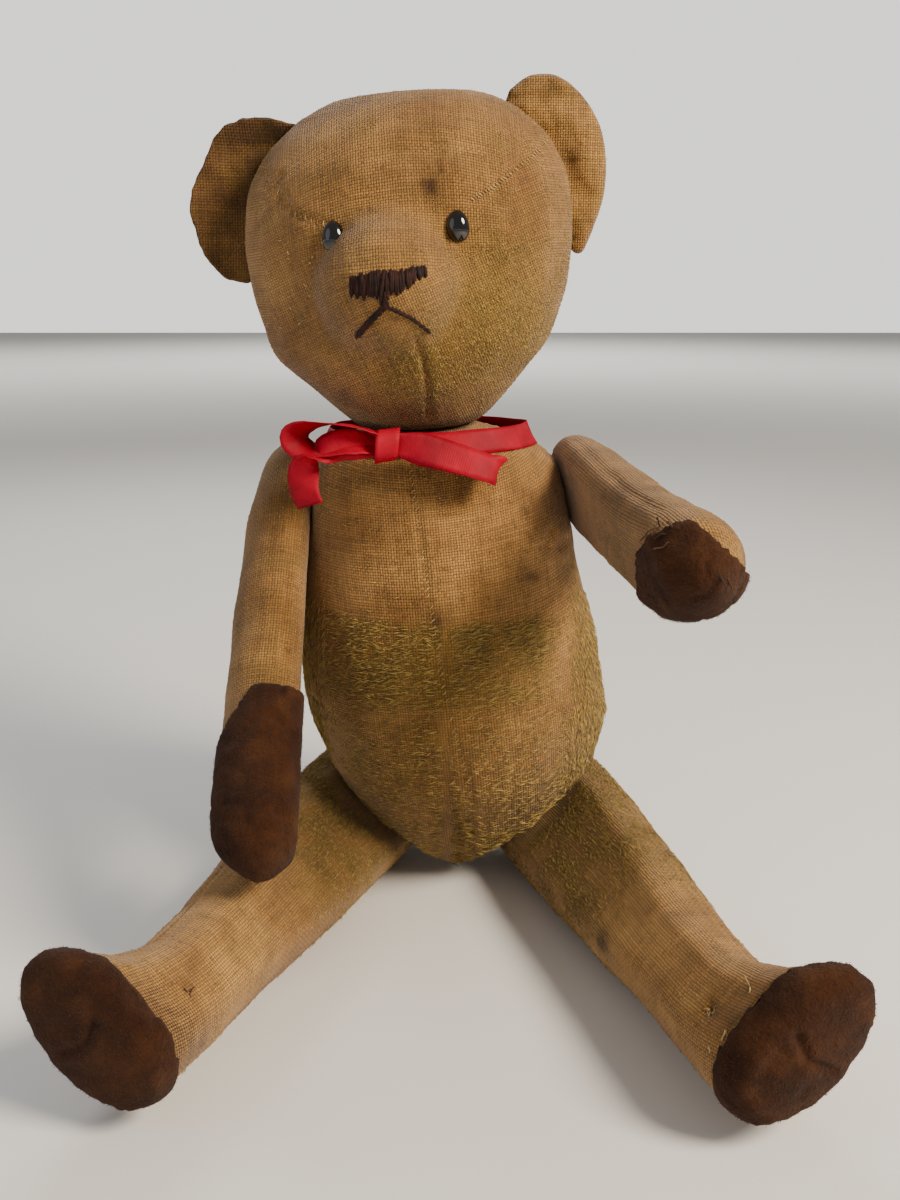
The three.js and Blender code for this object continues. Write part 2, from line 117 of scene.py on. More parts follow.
def wornCloth(name, looks):
    material, tree = newMaterial(name)
    uv = addNode(tree, "UVMap", uv_map="cloth")
    drift = addNode(tree, "TexNoise", {"Vector": uv, "Scale": 90.0}, "Color")
    threads = addNode(tree, "VectorMath", {0: uv, "Scale": 1 / looks["pitch"]}, operation="SCALE")
    sway = addNode(tree, "VectorMath", {0: drift, "Scale": looks["wander"]}, operation="SCALE")
    threads = addNode(tree, "VectorMath", {0: threads, 1: sway}, operation="ADD")
    arches = []
    for axis in addNode(tree, "SeparateXYZ", {0: threads}).node.outputs[:2]:
        turns = addNode(tree, "Math", {0: axis, 1: math.pi}, operation="MULTIPLY")
        wave = addNode(tree, "Math", {0: turns}, operation="SINE")
        arches.append(addNode(tree, "Math", {0: wave}, operation="ABSOLUTE"))
    # each crossing shows the thread that is on top, dipping where it goes under at its ends
    tops = []
    for thread, crossed in (arches, arches[::-1]):
        dip = addNode(tree, "Math", {0: crossed, 1: 0.5, 2: 0.5}, operation="MULTIPLY_ADD")
        tops.append(addNode(tree, "Math", {0: thread, 1: dip}, operation="MULTIPLY"))
    over = addNode(tree, "TexChecker", {"Vector": threads, "Scale": 1.0}, "Fac")
    height = addNode(tree, "Mix", {0: over, 2: tops[0], 3: tops[1]})
    # thick and thin places run along each thread
    slubs = []
    for stretch in ((1.0, 0.06, 1.0), (0.06, 1.0, 1.0)):
        along = addNode(tree, "Mapping", {"Vector": threads, "Scale": stretch})
        slubs.append(addNode(tree, "TexNoise", {"Vector": along, "Scale": 1.0, "Detail": 1.0}))
    slub = addNode(tree, "Mix", {0: over, 2: slubs[0], 3: slubs[1]})
    wear = {}
    for key, strength in looks["wear"].items():
        amount = addNode(tree, "Attribute", out="Fac", attribute_name=key)
        wear[key] = addNode(tree, "Math", {0: amount, 1: strength}, operation="MULTIPLY")
    where = addNode(tree, "TexCoord", out="Object")
    broad = addNode(tree, "TexNoise", {"Vector": where, "Scale": 22.0, "Detail": 4.0, "Roughness": 0.6})
    colour = betweenColours(tree, broad, 0.35, 0.7, looks["threadDark"], looks["threadLight"])
    colour = addNode(tree, "Mix", {0: wear["pile"], 6: colour, 7: looks["pileTint"]}, 2, data_type="RGBA")
    colour = shaded(tree, colour, slub, 0.25, 0.75, 0.62, 1.28)
    # where the weave has pulled open, more of what lies behind it shows; the gap colour in the weave's
    # hollows is painted shade
    closed = addNode(tree, "Math", {0: height, 1: wear["open"]}, operation="SUBTRACT")
    colour = betweenColours(tree, closed, 0.05, 0.5, looks["gap"], colour)
    specks = addNode(tree, "TexNoise", {"Vector": where, "Scale": 420.0, "Detail": 1.0})
    specks = addNode(tree, "MapRange", {0: specks, 1: 0.62, 2: 0.72, 4: 0.35})
    colour = addNode(tree, "Mix", {0: specks, 6: colour, 7: looks["gap"]}, 2, data_type="RGBA")
    # darkens the cloth for real soil and stains, and also for painted shade where parts meet
    colour = addNode(tree, "Mix", {0: wear["soilAndShade"], 6: colour, 7: looks["soilAndShadeTint"]}, 2, data_type="RGBA")
    fuzz = addNode(tree, "TexNoise", {"Vector": where, "Scale": 900.0})
    relief = addNode(tree, "Math", {0: fuzz, 1: 0.35, 2: height}, operation="MULTIPLY_ADD")
    normal = addNode(tree, "Bump", {"Height": relief, "Distance": looks["weaveDepth"], "Strength": 0.8})
    closeMaterial(tree, {
        "Base Color": colour, "Normal": normal, "Roughness": 0.92,
        "Sheen Weight": 0.18, "Sheen Roughness": 0.5, "Specular IOR Level": 0.25,
    })
    return material


# Pressed wool felt: no weave, a mat of short fibres, rubbed smoother and redder where it is worn.
def woolFelt(name, dark, light, worn):
    material, tree = newMaterial(name)
    where = addNode(tree, "TexCoord", out="Object")
    broad = addNode(tree, "TexNoise", {"Vector": where, "Scale": 45.0, "Detail": 5.0, "Roughness": 0.65})
    colour = betweenColours(tree, broad, 0.35, 0.7, dark, light)
    rubbed = addNode(tree, "Attribute", out="Fac", attribute_name="pile")
    rubbed = addNode(tree, "Math", {0: rubbed, 1: 0.55}, operation="MULTIPLY")
    colour = addNode(tree, "Mix", {0: rubbed, 6: colour, 7: worn}, 2, data_type="RGBA")
    fibres = addNode(tree, "TexNoise", {"Vector": where, "Scale": 1100.0, "Detail": 3.0, "Roughness": 0.6})
    colour = shaded(tree, colour, fibres, 0.3, 0.7, 0.75, 1.2)
    pits = addNode(tree, "TexNoise", {"Vector": where, "Scale": 230.0, "Detail": 5.0, "Roughness": 0.65})
    relief = addNode(tree, "Math", {0: fibres, 1: 0.6, 2: pits}, operation="MULTIPLY_ADD")
    normal = addNode(tree, "Bump", {"Height": relief, "Distance": 1.1 * mm, "Strength": 0.9})
    closeMaterial(tree, {
        "Base Color": colour, "Normal": normal, "Roughness": 1.0,
        "Sheen Weight": 0.05, "Sheen Roughness": 0.7, "Specular IOR Level": 0.04,
    })
    return material


# Loose fibres, dull and slightly glossy along their length: each strand has its own tone.
def fibre(name, dark, light):
    material, tree = newMaterial(name)
    tone = addNode(tree, "Attribute", out="Fac", attribute_name="tone")
    colour = addNode(tree, "Mix", {0: tone, 6: dark, 7: light}, 2, data_type="RGBA")
    where = addNode(tree, "TexCoord", out="Object")
    grain = addNode(tree, "TexNoise", {"Vector": where, "Scale": 2500.0, "Detail": 1.0})
    normal = addNode(tree, "Bump", {"Height": grain, "Distance": 0.05 * mm, "Strength": 0.4})
    closeMaterial(tree, {
        "Base Color": colour, "Normal": normal, "Roughness": 0.75,
        "Sheen Weight": 0.1, "Specular IOR Level": 0.3,
    })
    return material


# Black glass bead, polished, with dust and fine scratches that break the shine a little.
def blackGlass(name, glass, dusty):
    material, tree = newMaterial(name)
    where = addNode(tree, "TexCoord", out="Object")
    dust = addNode(tree, "TexNoise", {"Vector": where, "Scale": 500.0, "Detail": 3.0})
    scratches = addNode(tree, "TexNoise", {"Vector": where, "Scale": 260.0, "Detail": 4.0})
    closeMaterial(tree, {
        "Base Color": betweenColours(tree, dust, 0.6, 0.75, glass, dusty),
        "Roughness": addNode(tree, "MapRange", {0: scratches, 1: 0.4, 2: 0.8, 3: 0.04, 4: 0.2}),
        "IOR": 1.52, "Coat Weight": 0.6,
    })
    return material


# Woven satin ribbon: fine ribs across its width, 0.9 mm apart to show, and a soft gloss along it.
def satin(name, dark, light, ribSpacing=0.9 * mm):
    material, tree = newMaterial(name)
    uv = addNode(tree, "UVMap", uv_map="cloth")
    along = addNode(tree, "SeparateXYZ", {0: uv}, "Y")
    turns = addNode(tree, "Math", {0: along, 1: 2 * math.pi / ribSpacing}, operation="MULTIPLY")
    ribs = addNode(tree, "Math", {0: turns}, operation="SINE")
    where = addNode(tree, "TexCoord", out="Object")
    faded = addNode(tree, "TexNoise", {"Vector": where, "Scale": 70.0, "Detail": 3.0})
    creases = addNode(tree, "TexNoise", {"Vector": where, "Scale": 160.0, "Detail": 3.0})
    relief = addNode(tree, "Math", {0: ribs, 1: 0.08, 2: creases}, operation="MULTIPLY_ADD")
    closeMaterial(tree, {
        "Base Color": betweenColours(tree, faded, 0.3, 0.7, dark, light),
        "Normal": addNode(tree, "Bump", {"Height": relief, "Distance": 0.35 * mm, "Strength": 0.6}),
        "Roughness": 0.6, "Anisotropic": 0.4, "Specular IOR Level": 0.18,
    })
    return material


# Cotton floss, twisted, dulled by age.
def floss(name, dark, light):
    material, tree = newMaterial(name)
    where = addNode(tree, "TexCoord", out="Object")
    broad = addNode(tree, "TexNoise", {"Vector": where, "Scale": 320.0, "Detail": 3.0})
    grain = addNode(tree, "TexNoise", {"Vector": where, "Scale": 1400.0})
    closeMaterial(tree, {
        "Base Color": betweenColours(tree, broad, 0.35, 0.7, dark, light),
        "Normal": addNode(tree, "Bump", {"Height": grain, "Distance": 0.2 * mm, "Strength": 0.6}),
        "Roughness": 0.7, "Sheen Weight": 0.05, "Specular IOR Level": 0.25,
    })
    return material


# Hidden pieces: pressed board with specks, dull steel with rust, and wood shavings.
def speckled(name, dark, light, scale, depth, roughness, metallic=0.0):
    material, tree = newMaterial(name)
    where = addNode(tree, "TexCoord", out="Object")
    grain = addNode(tree, "TexNoise", {"Vector": where, "Scale": scale, "Detail": 6.0, "Roughness": 0.7})
    closeMaterial(tree, {
        "Base Color": betweenColours(tree, grain, 0.35, 0.65, dark, light),
        "Normal": addNode(tree, "Bump", {"Height": grain, "Distance": depth, "Strength": 0.6}),
        "Roughness": roughness, "Metallic": metallic,
    })
    return material


finishes = {
    "body": wornCloth("wornMohairBacking", clothLooks),
    "head": wornCloth("wornMohairBackingHead", {
        **clothLooks, "pitch": 1.0 * mm, "threadLight": "#b98a4c",
    }),
    "legs": wornCloth("wornMohairBackingLegs", {
        **clothLooks, "threadLight": "#c69753", "threadDark": "#946428",
    }),
    # a darker copy of the cloth: painted shade for the ear on the bear's right
    "ears": wornCloth("shadedEarMohairBacking", {
        **clothLooks, "threadLight": "#9a6f3c", "threadDark": "#684520",
    }),
    "felt": woolFelt("brownWoolFelt", "#2b1508", "#42240e", "#523016"),
    "feltFuzz": fibre("brownWoolFibres", "#241004", "#4c2a0f"),
    "pile": fibre("oliveMohairPile", "#5a4814", "#d2b05e"),
    "paleThread": fibre("paleCottonThread", "#8c6a3a", "#d8bb84"),
    "redThread": fibre("fadedRedThread", "#5a2a16", "#8a4a2a"),
    "darkThread": fibre("brownLinenThread", "#1d0f08", "#4b2c16"),
    "glass": blackGlass("blackGlassBead", "#060505", "#16110d"),
    "satin": satin("redSatinRibbon", "#84001a", "#b00026"),
    "floss": floss("brownFloss", "#140502", "#331005"),
    "hardboard": speckled("pressedHardboard", "#4a3320", "#7a5a3a", 400.0, 0.2 * mm, 0.85),
    "steel": speckled("rustedSteel", "#5b3a28", "#8d8f90", 220.0, 0.1 * mm, 0.45, 0.9),
    "woodWool": speckled("woodWool", "#8a6432", "#d0ae74", 260.0, 1.5 * mm, 0.9),
}
for name, node in nodes.items():
    if name.endswith("disc"):
        finish = "hardboard"
    elif name.endswith(("washer", "_pin")):
        finish = "steel"
    elif name.endswith("stuffing"):
        finish = "woodWool"
    else:
        continue
    node.data.materials.clear()
    node.data.materials.append(finishes[finish])
print("materials made")


# Mesh helpers
def cadSurface(*names):
    points, faces = [], []
    for name in names:
        mesh = nodes[name].data
        first = len(points)
        points += [vertex.co.copy() for vertex in mesh.vertices]
        faces += [[first + v for v in polygon.vertices] for polygon in mesh.polygons]
    return BVHTree.FromPolygons(points, faces)


def newObject(name, points, faces, finish):
    mesh = bpy.data.meshes.new(name)
    mesh.from_pydata([tuple(p) for p in points], [], faces)
    mesh.update()
    obj = bpy.data.objects.new(name, mesh)
    bpy.context.collection.objects.link(obj)
    mesh.materials.append(finishes[finish])
    mesh.shade_smooth()
    return obj


def place(obj, body, slot, replaced=()):
    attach(obj, body)
    if replaced:
        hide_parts(*replaced)


def facesOutward(obj):
    mesh = bmesh.new()
    mesh.from_mesh(obj.data)
    bmesh.ops.recalc_face_normals(mesh, faces=mesh.faces[:])
    mesh.to_mesh(obj.data)
    mesh.free()


def coordinates(obj):
    points = np.empty(len(obj.data.vertices) * 3)
    obj.data.vertices.foreach_get("co", points)
    return points.reshape(-1, 3)


def normals(obj):
    values = np.empty(len(obj.data.vertices) * 3)
    obj.data.vertices.foreach_get("normal", values)
    return values.reshape(-1, 3)


def moveTo(obj, points):
    obj.data.vertices.foreach_set("co", points.ravel())
    obj.data.update()


def pushOut(obj, amounts):
    moveTo(obj, coordinates(obj) + normals(obj) * amounts[:, None])


def setAttribute(obj, name, values):
    layer = obj.data.attributes.new(name, "FLOAT", "POINT")
    layer.data.foreach_set("value", np.clip(values, 0, 1).astype(np.float32))


def noiseOver(points, size, seed=0.0):
    shift = Vector((seed, 3.1 * seed, -1.7 * seed))
    return np.array([noise.noise(Vector(p) / size + shift) for p in points])


def fade(value, low, high):
    t = np.clip((value - low) / (high - low), 0, 1)
    return t * t * (3 - 2 * t)


def frontPatch(x, z, atX, atZ, wide, high):
    # a soft round patch, seen from the front
    return np.exp(-(((x - atX) / wide) ** 2 + ((z - atZ) / high) ** 2))


def surfaceOf(obj):
    return BVHTree.FromObject(obj, bpy.context.evaluated_depsgraph_get())


def curveThrough(points, step):
    # an even Catmull-Rom curve through given points
    ends = [Vector(p) for p in points]
    ends = [2 * ends[0] - ends[1]] + ends + [2 * ends[-1] - ends[-2]]
    out = []
    for a, b, c, d in zip(ends, ends[1:], ends[2:], ends[3:]):
        count = max(1, round((c - b).length / step))
        for i in range(count):
            t = i / count
            spot = 2 * b + (c - a) * t
            spot += (2 * a - 5 * b + 4 * c - d) * t * t
            spot += (3 * b - a - 3 * c + d) * t ** 3
            out.append(0.5 * spot)
    out.append(ends[-2])
    return out


def laidOn(surface, points, lift=0.0, toward=None):
    # drops points onto a surface along a direction, or along the line of sight
    out, reach = [], 0.4
    for point in points:
        way = toward or (point - viewpoint).normalized()
        spot, normal, _, _ = surface.ray_cast(point - way * reach, way, 2 * reach)
        if spot is None:
            spot, normal, _, _ = surface.find_nearest(point)
        out.append(spot + normal * lift)
    return out


def distanceTo(route, points):
    tree = KDTree(len(route))
    for i, point in enumerate(route):
        tree.insert(point, i)
    tree.balance()
    found = [tree.find(Vector(p)) for p in points]
    return np.array([f[2] for f in found]), np.array([f[1] for f in found])


def sewnSeam(obj, route, depth, width, pucker, every=3.4 * mm):
    # a seam pulled in along a route, with a low ridge and puckers on both sides of it
    points = coordinates(obj)
    far, nearest = distanceTo(route, points)
    step = (route[1] - route[0]).length
    groove = -depth * np.exp(-(far / width) ** 2)
    ridge = 0.4 * depth * np.exp(-((far - 2.2 * width) / width) ** 2)
    ripple = pucker * np.sin(nearest * step / every * 2 * math.pi) * np.exp(-far / (2.5 * width))
    pushOut(obj, groove + ridge + ripple * (far > 0.5 * width))


# A thread is a tube with closed ends. Many threads make one mesh.
def threadObject(name, routes, radius, finish, body, slot, sides=5):
    points, faces, tones = [], [], []
    for number, route in enumerate(routes):
        width = radius[number] if isinstance(radius, list) else radius
        first = len(points)
        across = None
        for i, middle in enumerate(route):
            ahead = (route[min(i + 1, len(route) - 1)] - route[max(i - 1, 0)]).normalized()
            if across is None:
                across = ahead.orthogonal().normalized()
            across = (across - ahead * across.dot(ahead)).normalized()
            other = ahead.cross(across)
            thin = 0.55 if i in (0, len(route) - 1) else 1.0
            for side in range(sides):
                turn = 2 * math.pi * side / sides
                points.append(middle + (across * math.cos(turn) + other * math.sin(turn)) * width * thin)
        for ring in range(len(route) - 1):
            for side in range(sides):
                a = first + ring * sides + side
                b = first + ring * sides + (side + 1) % sides
                faces.append((a, b, b + sides, a + sides))
        faces.append([first + side for side in reversed(range(sides))])
        faces.append([first + (len(route) - 1) * sides + side for side in range(sides)])
        tones += [rng.random()] * (len(route) * sides)
    obj = newObject(name, points, faces, finish)
    setAttribute(obj, "tone", np.array(tones))
    place(obj, body, slot)
    return obj


# A stuffed part starts as a round grid of points about a line inside its CAD solids. Each point
# goes out to the solids' surface, and is then softened, so the facets and edges go.
def stuffedPart(name, solids, start, end, front, ends, girth, settings, panelMap=None):
    surface = cadSurface(*solids)
    spacing, soften, reach = settings["spacing"], settings["soften"], 0.3
    axis = (end - start).normalized()
    side = axis.cross(front).normalized()
    front = side.cross(axis)
    caps = [1.9 * radius for radius in ends]
    length = (end - start).length + sum(caps)
    rings = int(length / spacing)
    sectors = 2 * int(girth / spacing / 2)
    centres, directions = np.zeros((rings, sectors, 3)), np.zeros((rings, sectors, 3))
    far = np.full((rings, sectors), np.nan)
    for ring in range(rings):
        along = (ring + 1) / (rings + 1) * length
        centre, tilt = start + axis * (along - caps[0]), 0.0
        if along < caps[0]:
            centre, tilt = start, (1 - along / caps[0]) * math.pi / 2
        elif along > length - caps[1]:
            centre, tilt = end, -(1 - (length - along) / caps[1]) * math.pi / 2
        for sector in range(sectors):
            turn = sector / sectors * 2 * math.pi
            out = front * math.cos(turn) + side * math.sin(turn)
            out = out * math.cos(tilt) - axis * math.sin(tilt)
            hit = surface.ray_cast(centre + out * reach, -out, reach)[0]
            centres[ring, sector], directions[ring, sector] = centre, out
            if hit is not None:
                far[ring, sector] = (hit - centre).length
    far = np.where(np.isnan(far), np.nanmean(far, axis=1, keepdims=True), far)
    far = softened(far, soften / spacing, soften / spacing)
    grid = centres + directions * far[:, :, None]
    first = np.array(start) - np.array(axis) * far[0].mean()
    last = np.array(end) + np.array(axis) * far[-1].mean()
    points = np.vstack([first[None], grid.reshape(-1, 3), last[None]])
    obj = newObject(name, points, gridFaces(rings, sectors), settings["finish"])
    mapCloth(obj, grid, panelMap)
    return obj


def softened(values, down, across):
    # a round blur: rings carry on over each end to the opposite side
    def weights(width):
        reach = max(1, int(3 * width))
        steps = np.arange(-reach, reach + 1)
        bell = np.exp(-0.5 * (steps / max(width, 1e-6)) ** 2)
        return reach, bell / bell.sum()

    reach, bell = weights(across)
    values = sum(w * np.roll(values, k - reach, axis=1) for k, w in enumerate(bell))
    reach, bell = weights(down)
    opposite = np.roll(values, values.shape[1] // 2, axis=1)
    padded = np.vstack([opposite[:reach][::-1], values, opposite[-reach:][::-1]])
    count = values.shape[0]
    return sum(w * padded[k:k + count] for k, w in enumerate(bell))


def gridFaces(rings, sectors):
    faces = []
    last = 1 + rings * sectors
    for sector in range(sectors):
        following = (sector + 1) % sectors
        faces.append((0, 1 + following, 1 + sector))
        for ring in range(rings - 1):
            a, b = 1 + ring * sectors + sector, 1 + ring * sectors + following
            faces.append((a, b, b + sectors, a + sectors))
        faces.append((last, last - sectors + sector, last - sectors + following))
    return faces


def mapCloth(obj, grid, panelMap):
    # threads run along the part, and around it from the front line to the back
    mesh = obj.data
    layer = mesh.uv_layers.new(name="cloth")
    rings, sectors = grid.shape[:2]
    steps = np.linalg.norm(np.roll(grid, -1, axis=1) - grid, axis=2)
    around = np.concatenate([np.zeros((rings, 1)), np.cumsum(steps, axis=1)], axis=1)
    down = np.concatenate([[0], np.cumsum(np.linalg.norm(np.diff(grid, axis=0), axis=2).mean(axis=1))])
    if panelMap:
        for polygon in mesh.polygons:
            corners = [mesh.vertices[v].co for v in polygon.vertices]
            for loop, point in zip(polygon.loop_indices, panelMap(polygon.center, corners)):
                layer.data[loop].uv = point
        return
    for polygon in mesh.polygons:
        ids = [v - 1 for v in polygon.vertices]
        columns = [v % sectors for v in ids if 0 <= v < rings * sectors]
        wraps = max(columns) - min(columns) > 1
        for loop, v in zip(polygon.loop_indices, ids):
            if not 0 <= v < rings * sectors:
                layer.data[loop].uv = (0, down[0] if v < 0 else down[-1])
                continue
            ring, column = divmod(v, sectors)
            if wraps and column == 0:
                column = sectors
            u = around[ring, column]
            if max(columns) > sectors // 2 or wraps:
                u -= around[ring, -1]
            layer.data[loop].uv = (u, down[ring])


def overStuffing(obj, body):
    # no part of the cloth sinks into the stuffing under it
    surface, least = cadSurface(f"{body}_stuffing"), 0.5 * mm
    points = coordinates(obj)
    for i, point in enumerate(points):
        spot, normal, _, far = surface.find_nearest(Vector(point))
        depth = (Vector(point) - spot).dot(normal)
        if far < 8 * mm and depth < least:
            points[i] += np.array(normal * (least - depth))
    moveTo(obj, points)


def lumpy(obj, settings, seed):
    points = coordinates(obj)
    amounts = noiseOver(points, settings["lumpSize"], seed) * settings["lumpDepth"]
    amounts += noiseOver(points, settings["dimpleSize"], seed + 5) * settings["dimpleDepth"]
    pushOut(obj, amounts)


def keptClear(obj, joint, sign, radius, spare=0.25 * mm):
    # flattens a part against the plane of its joint, where it meets its neighbour
    origin, axis = Vector(joint["pos_m"]), Vector(joint["axis"]).normalized() * sign
    points = coordinates(obj)
    off = points - np.array(origin)
    depth = off @ np.array(axis)
    beside = np.linalg.norm(off - depth[:, None] * np.array(axis), axis=1)
    over = (depth > -spare) & (beside < radius) & (depth < 20 * mm)
    points[over] -= np.array(axis) * (depth[over] + spare)[:, None]
    moveTo(obj, points)


def onFloor(obj):
    points = coordinates(obj)
    points[:, 2] = np.maximum(points[:, 2], 0.1 * mm)
    moveTo(obj, points)


def clearOfPads(roots, body):
    # no strand grows under a felt pad, or where two parts meet at a joint
    kept = np.ones(len(roots), bool)
    if body in padSurfaces:
        pad = padSurfaces[body]
        kept = np.array([pad.find_nearest(Vector(root), 3 * mm)[0] is None for root in roots])
    for child, joint in joints.items():
        if body in (child, "torso"):
            axis = np.array(Vector(joint["axis"]).normalized())
            off = roots - np.array(joint["pos_m"])
            depth = off @ axis
            beside = np.linalg.norm(off - depth[:, None] * axis, axis=1)
            kept &= (np.abs(depth) > 2.5 * mm) | (beside > 45 * mm)
    return kept


# Short strands of pile, each a closed sliver: a root in the cloth, a bend and a tip.
def pileObject(name, cloth, body, count, length, width, lay, settings, seed):
    source = np.random.default_rng(seed)
    mesh = cloth.data
    quads = [p for p in mesh.polygons if len(p.vertices) == 4]
    corners = coordinates(cloth)[np.array([list(p.vertices) for p in quads])]
    facing = np.array([p.normal for p in quads])
    areas = np.array([p.area for p in quads])
    values = np.empty(len(mesh.vertices), np.float32)
    mesh.attributes["pile"].data.foreach_get("value", values)
    dense = values[np.array([list(p.vertices) for p in quads])].mean(axis=1)
    chance = areas * np.clip(dense, settings["least"], 1) ** settings["contrast"]
    chosen = source.choice(len(quads), count, p=chance / chance.sum())
    s, t = source.random((2, count, 1))
    quad = corners[chosen]
    roots = (quad[:, 0] * (1 - s) + quad[:, 1] * s) * (1 - t) + (quad[:, 3] * (1 - s) + quad[:, 2] * s) * t
    kept = np.ones(count, bool) if settings["onPad"] else clearOfPads(roots, body)
    roots, chosen = roots[kept], chosen[kept]
    count = len(roots)
    out = facing[chosen]
    comb = lay(roots) + source.normal(0, settings["stray"], (count, 3))
    comb -= out * (comb * out).sum(axis=1, keepdims=True)
    comb /= np.linalg.norm(comb, axis=1, keepdims=True) + 1e-9
    lengths = length * source.uniform(0.45, 1.25, (count, 1)) * (0.6 + 0.4 * dense[chosen][:, None])
    rise = settings["rise"] * source.uniform(0.2, 1.0, (count, 1))
    middle = roots + comb * lengths * 0.5 + out * lengths * rise * 0.6
    tips = roots + comb * lengths * 0.95 + out * lengths * rise * source.uniform(0.2, 1.1, (count, 1))
    roots = roots - out * 0.4 * mm
    along = tips - roots
    along /= np.linalg.norm(along, axis=1, keepdims=True)
    across = np.cross(along, out)
    across /= np.linalg.norm(across, axis=1, keepdims=True) + 1e-9
    other = np.cross(along, across)
    points = np.empty((count, 5, 3))
    points[:, 0], points[:, 4] = roots, tips
    for i in range(3):
        turn = 2 * math.pi * i / 3
        points[:, 1 + i] = middle + (across * math.cos(turn) + other * math.sin(turn)) * width
    pattern = np.array([(0, 2, 1), (0, 3, 2), (0, 1, 3), (4, 1, 2), (4, 2, 3), (4, 3, 1)])
    faces = (np.arange(count)[:, None, None] * 5 + pattern).reshape(-1, 3)
    obj = newObject(name, points.reshape(-1, 3), faces.tolist(), settings["finish"])
    tones = np.clip(source.normal(settings["tone"], 0.22, count), 0, 1)
    setAttribute(obj, "tone", np.repeat(tones, 5))
    place(obj, body, "worn_cloth")
    return obj


# Places are measured in millimetres from the point under the torso, which the neck joint fixes.
underTorso = Vector(joints["head"]["pos_m"]) - Vector((-11, -33, 208.5)) * mm


def at(x, y, z):
    return underTorso + Vector((x, y, z)) * mm


def local(points):
    return (np.asarray(points) - np.array(underTorso)) / mm


headTurn = Matrix.Rotation(math.radians(-4), 3, "Y")


def onHead(x, y, z):
    return Vector(joints["head"]["pos_m"]) + headTurn @ (Vector((x, y, z)) * mm)


# Head
head = {
    "spacing": 1.5 * mm,
    "soften": 3.4 * mm,
    "finish": "head",
    "lumpSize": 22 * mm,
    "lumpDepth": 0.7 * mm,
    "dimpleSize": 6 * mm,
    "dimpleDepth": 0.16 * mm,
    "eyes": {"eye_left": (16.5, -54, 76.5), "eye_right": (-29.5, -54, 76)},
    "eyeRadii": (4.4, 3.6, 5.8),
    "socketDepth": 2.2 * mm,
    "socketWidth": 7.5 * mm,
    # x, z, width, height and strength of each dark patch, seen from the front: the first four are stains on
    # the forehead, the last three are painted shade on the bear's right cheek and under its chin
    "darkPatches": [
        (-10, 298.6, 3.6, 4.6, 1.0), (-3, 307.5, 5.5, 5.0, 0.55), (-26, 306, 5.0, 3.2, 0.35),
        (-12, 303, 9.0, 7.0, 0.3), (-30, 240, 15.0, 9.0, 0.35), (-10, 222, 7.0, 9.0, 0.3),
        (-26, 262, 19.0, 9.0, 0.3),
    ],
    # x, z, width, height and strength of the pile left on the cheek and the chin, and where it starts
    "pilePatches": [(20, 252, 26, 32, 0.9, 20, 60), (-14, 236, 16, 14, 0.7, 40, 70)],
}


def headPanels(centre, points):
    # the gusset runs over the top from the nose to the neck; a side panel lies on each side
    hub, upright = onHead(-6, 0, 60), headTurn.transposed()
    middle = upright @ (centre - hub)
    onTop = middle.z > 22 * mm - 0.3 * max(-middle.y, 0)
    gusset = onTop and abs(middle.x) < 38 * mm + 0.25 * max(middle.z, 0)
    out = []
    for point in points:
        p = upright @ (point - hub)
        if gusset:
            out.append((p.x, math.atan2(p.z, -p.y) * 58 * mm))
        elif middle.y < -0.55 * abs(middle.x):
            out.append((p.x + 0.35 * p.z, p.z - 0.35 * p.x))
        elif middle.y > 0.8 * abs(middle.x):
            out.append((p.x, p.z))
        else:
            out.append((p.y, p.z))
    return out


headSkin = stuffedPart(
    "head_cloth", ("head_cover",), onHead(-4, -4, 40), onHead(-2, 0, 84), Vector((0, -1, 0)),
    (40 * mm, 48 * mm), 400 * mm, head, headPanels,
)
lumpy(headSkin, head, 3.0)
for eyeAt in head["eyes"].values():
    points = coordinates(headSkin)
    off = np.linalg.norm(points - np.array(onHead(*eyeAt)), axis=1)
    pushOut(headSkin, -head["socketDepth"] * np.exp(-(off / head["socketWidth"]) ** 2))
keptClear(headSkin, joints["head"], -1, 40 * mm)
headSurface = surfaceOf(headSkin)
faceSeams = {
    "rightBrow": [(-76, -75, 311), (-71, -75, 305), (-62, -75, 292), (-56, -75, 289), (-49, -75, 287)],
    "leftBrow": [(34, -80, 318), (30, -80, 313), (16, -80, 302), (5, -80, 295)],
    "rightSnout": [(-43, -100, 279), (-42, -100, 270), (-40, -100, 260), (-37, -100, 250)],
    "leftSnout": [(-3, -100, 285), (-5, -100, 278), (-8, -100, 271), (-11, -100, 266)],
    "chin": [(-15, -100, 246), (-12, -100, 238), (-11, -85, 228), (-10.5, -75, 215)],
}
for name, spots in faceSeams.items():
    faceSeams[name] = laidOn(headSurface, curveThrough([at(*spot) for spot in spots], 1.2 * mm))
for name, route in faceSeams.items():
    sewnSeam(headSkin, route, (0.5 if "Snout" in name else 0.9) * mm, 1.5 * mm, 0.3 * mm)
overStuffing(headSkin, "head")
x, y, z = local(coordinates(headSkin)).T
patchy = noiseOver(coordinates(headSkin), 9 * mm, 2.0)
fine = noiseOver(coordinates(headSkin), 3 * mm, 4.0)
pile = np.zeros(len(x))
for atX, atZ, wide, high, strength, nearer, full in head["pilePatches"]:
    pile += frontPatch(x, z, atX, atZ, wide, high) * fade(-y, nearer, full) * strength
setAttribute(headSkin, "pile", pile + fade(y, -10, 12) * 0.55 + 0.07 + patchy * 0.35 + fine * 0.12)
soilAndShade = np.zeros(len(x))
for atX, atZ, wide, high, strength in head["darkPatches"]:
    soilAndShade += strength * frontPatch(x, z, atX, atZ, wide, high) * (0.75 + 0.9 * fine) * (y < -30)
# patchy soil, and painted shade under the chin, darker towards the neck
soilAndShade += 0.14 * fade(patchy, 0.1, 0.6) + 0.3 * fade(232 - z, 0, 26)
setAttribute(headSkin, "soilAndShade", soilAndShade)
place(headSkin, "head", "worn_cloth", ("head_cover",))
headSurface = surfaceOf(headSkin)
print("head done")


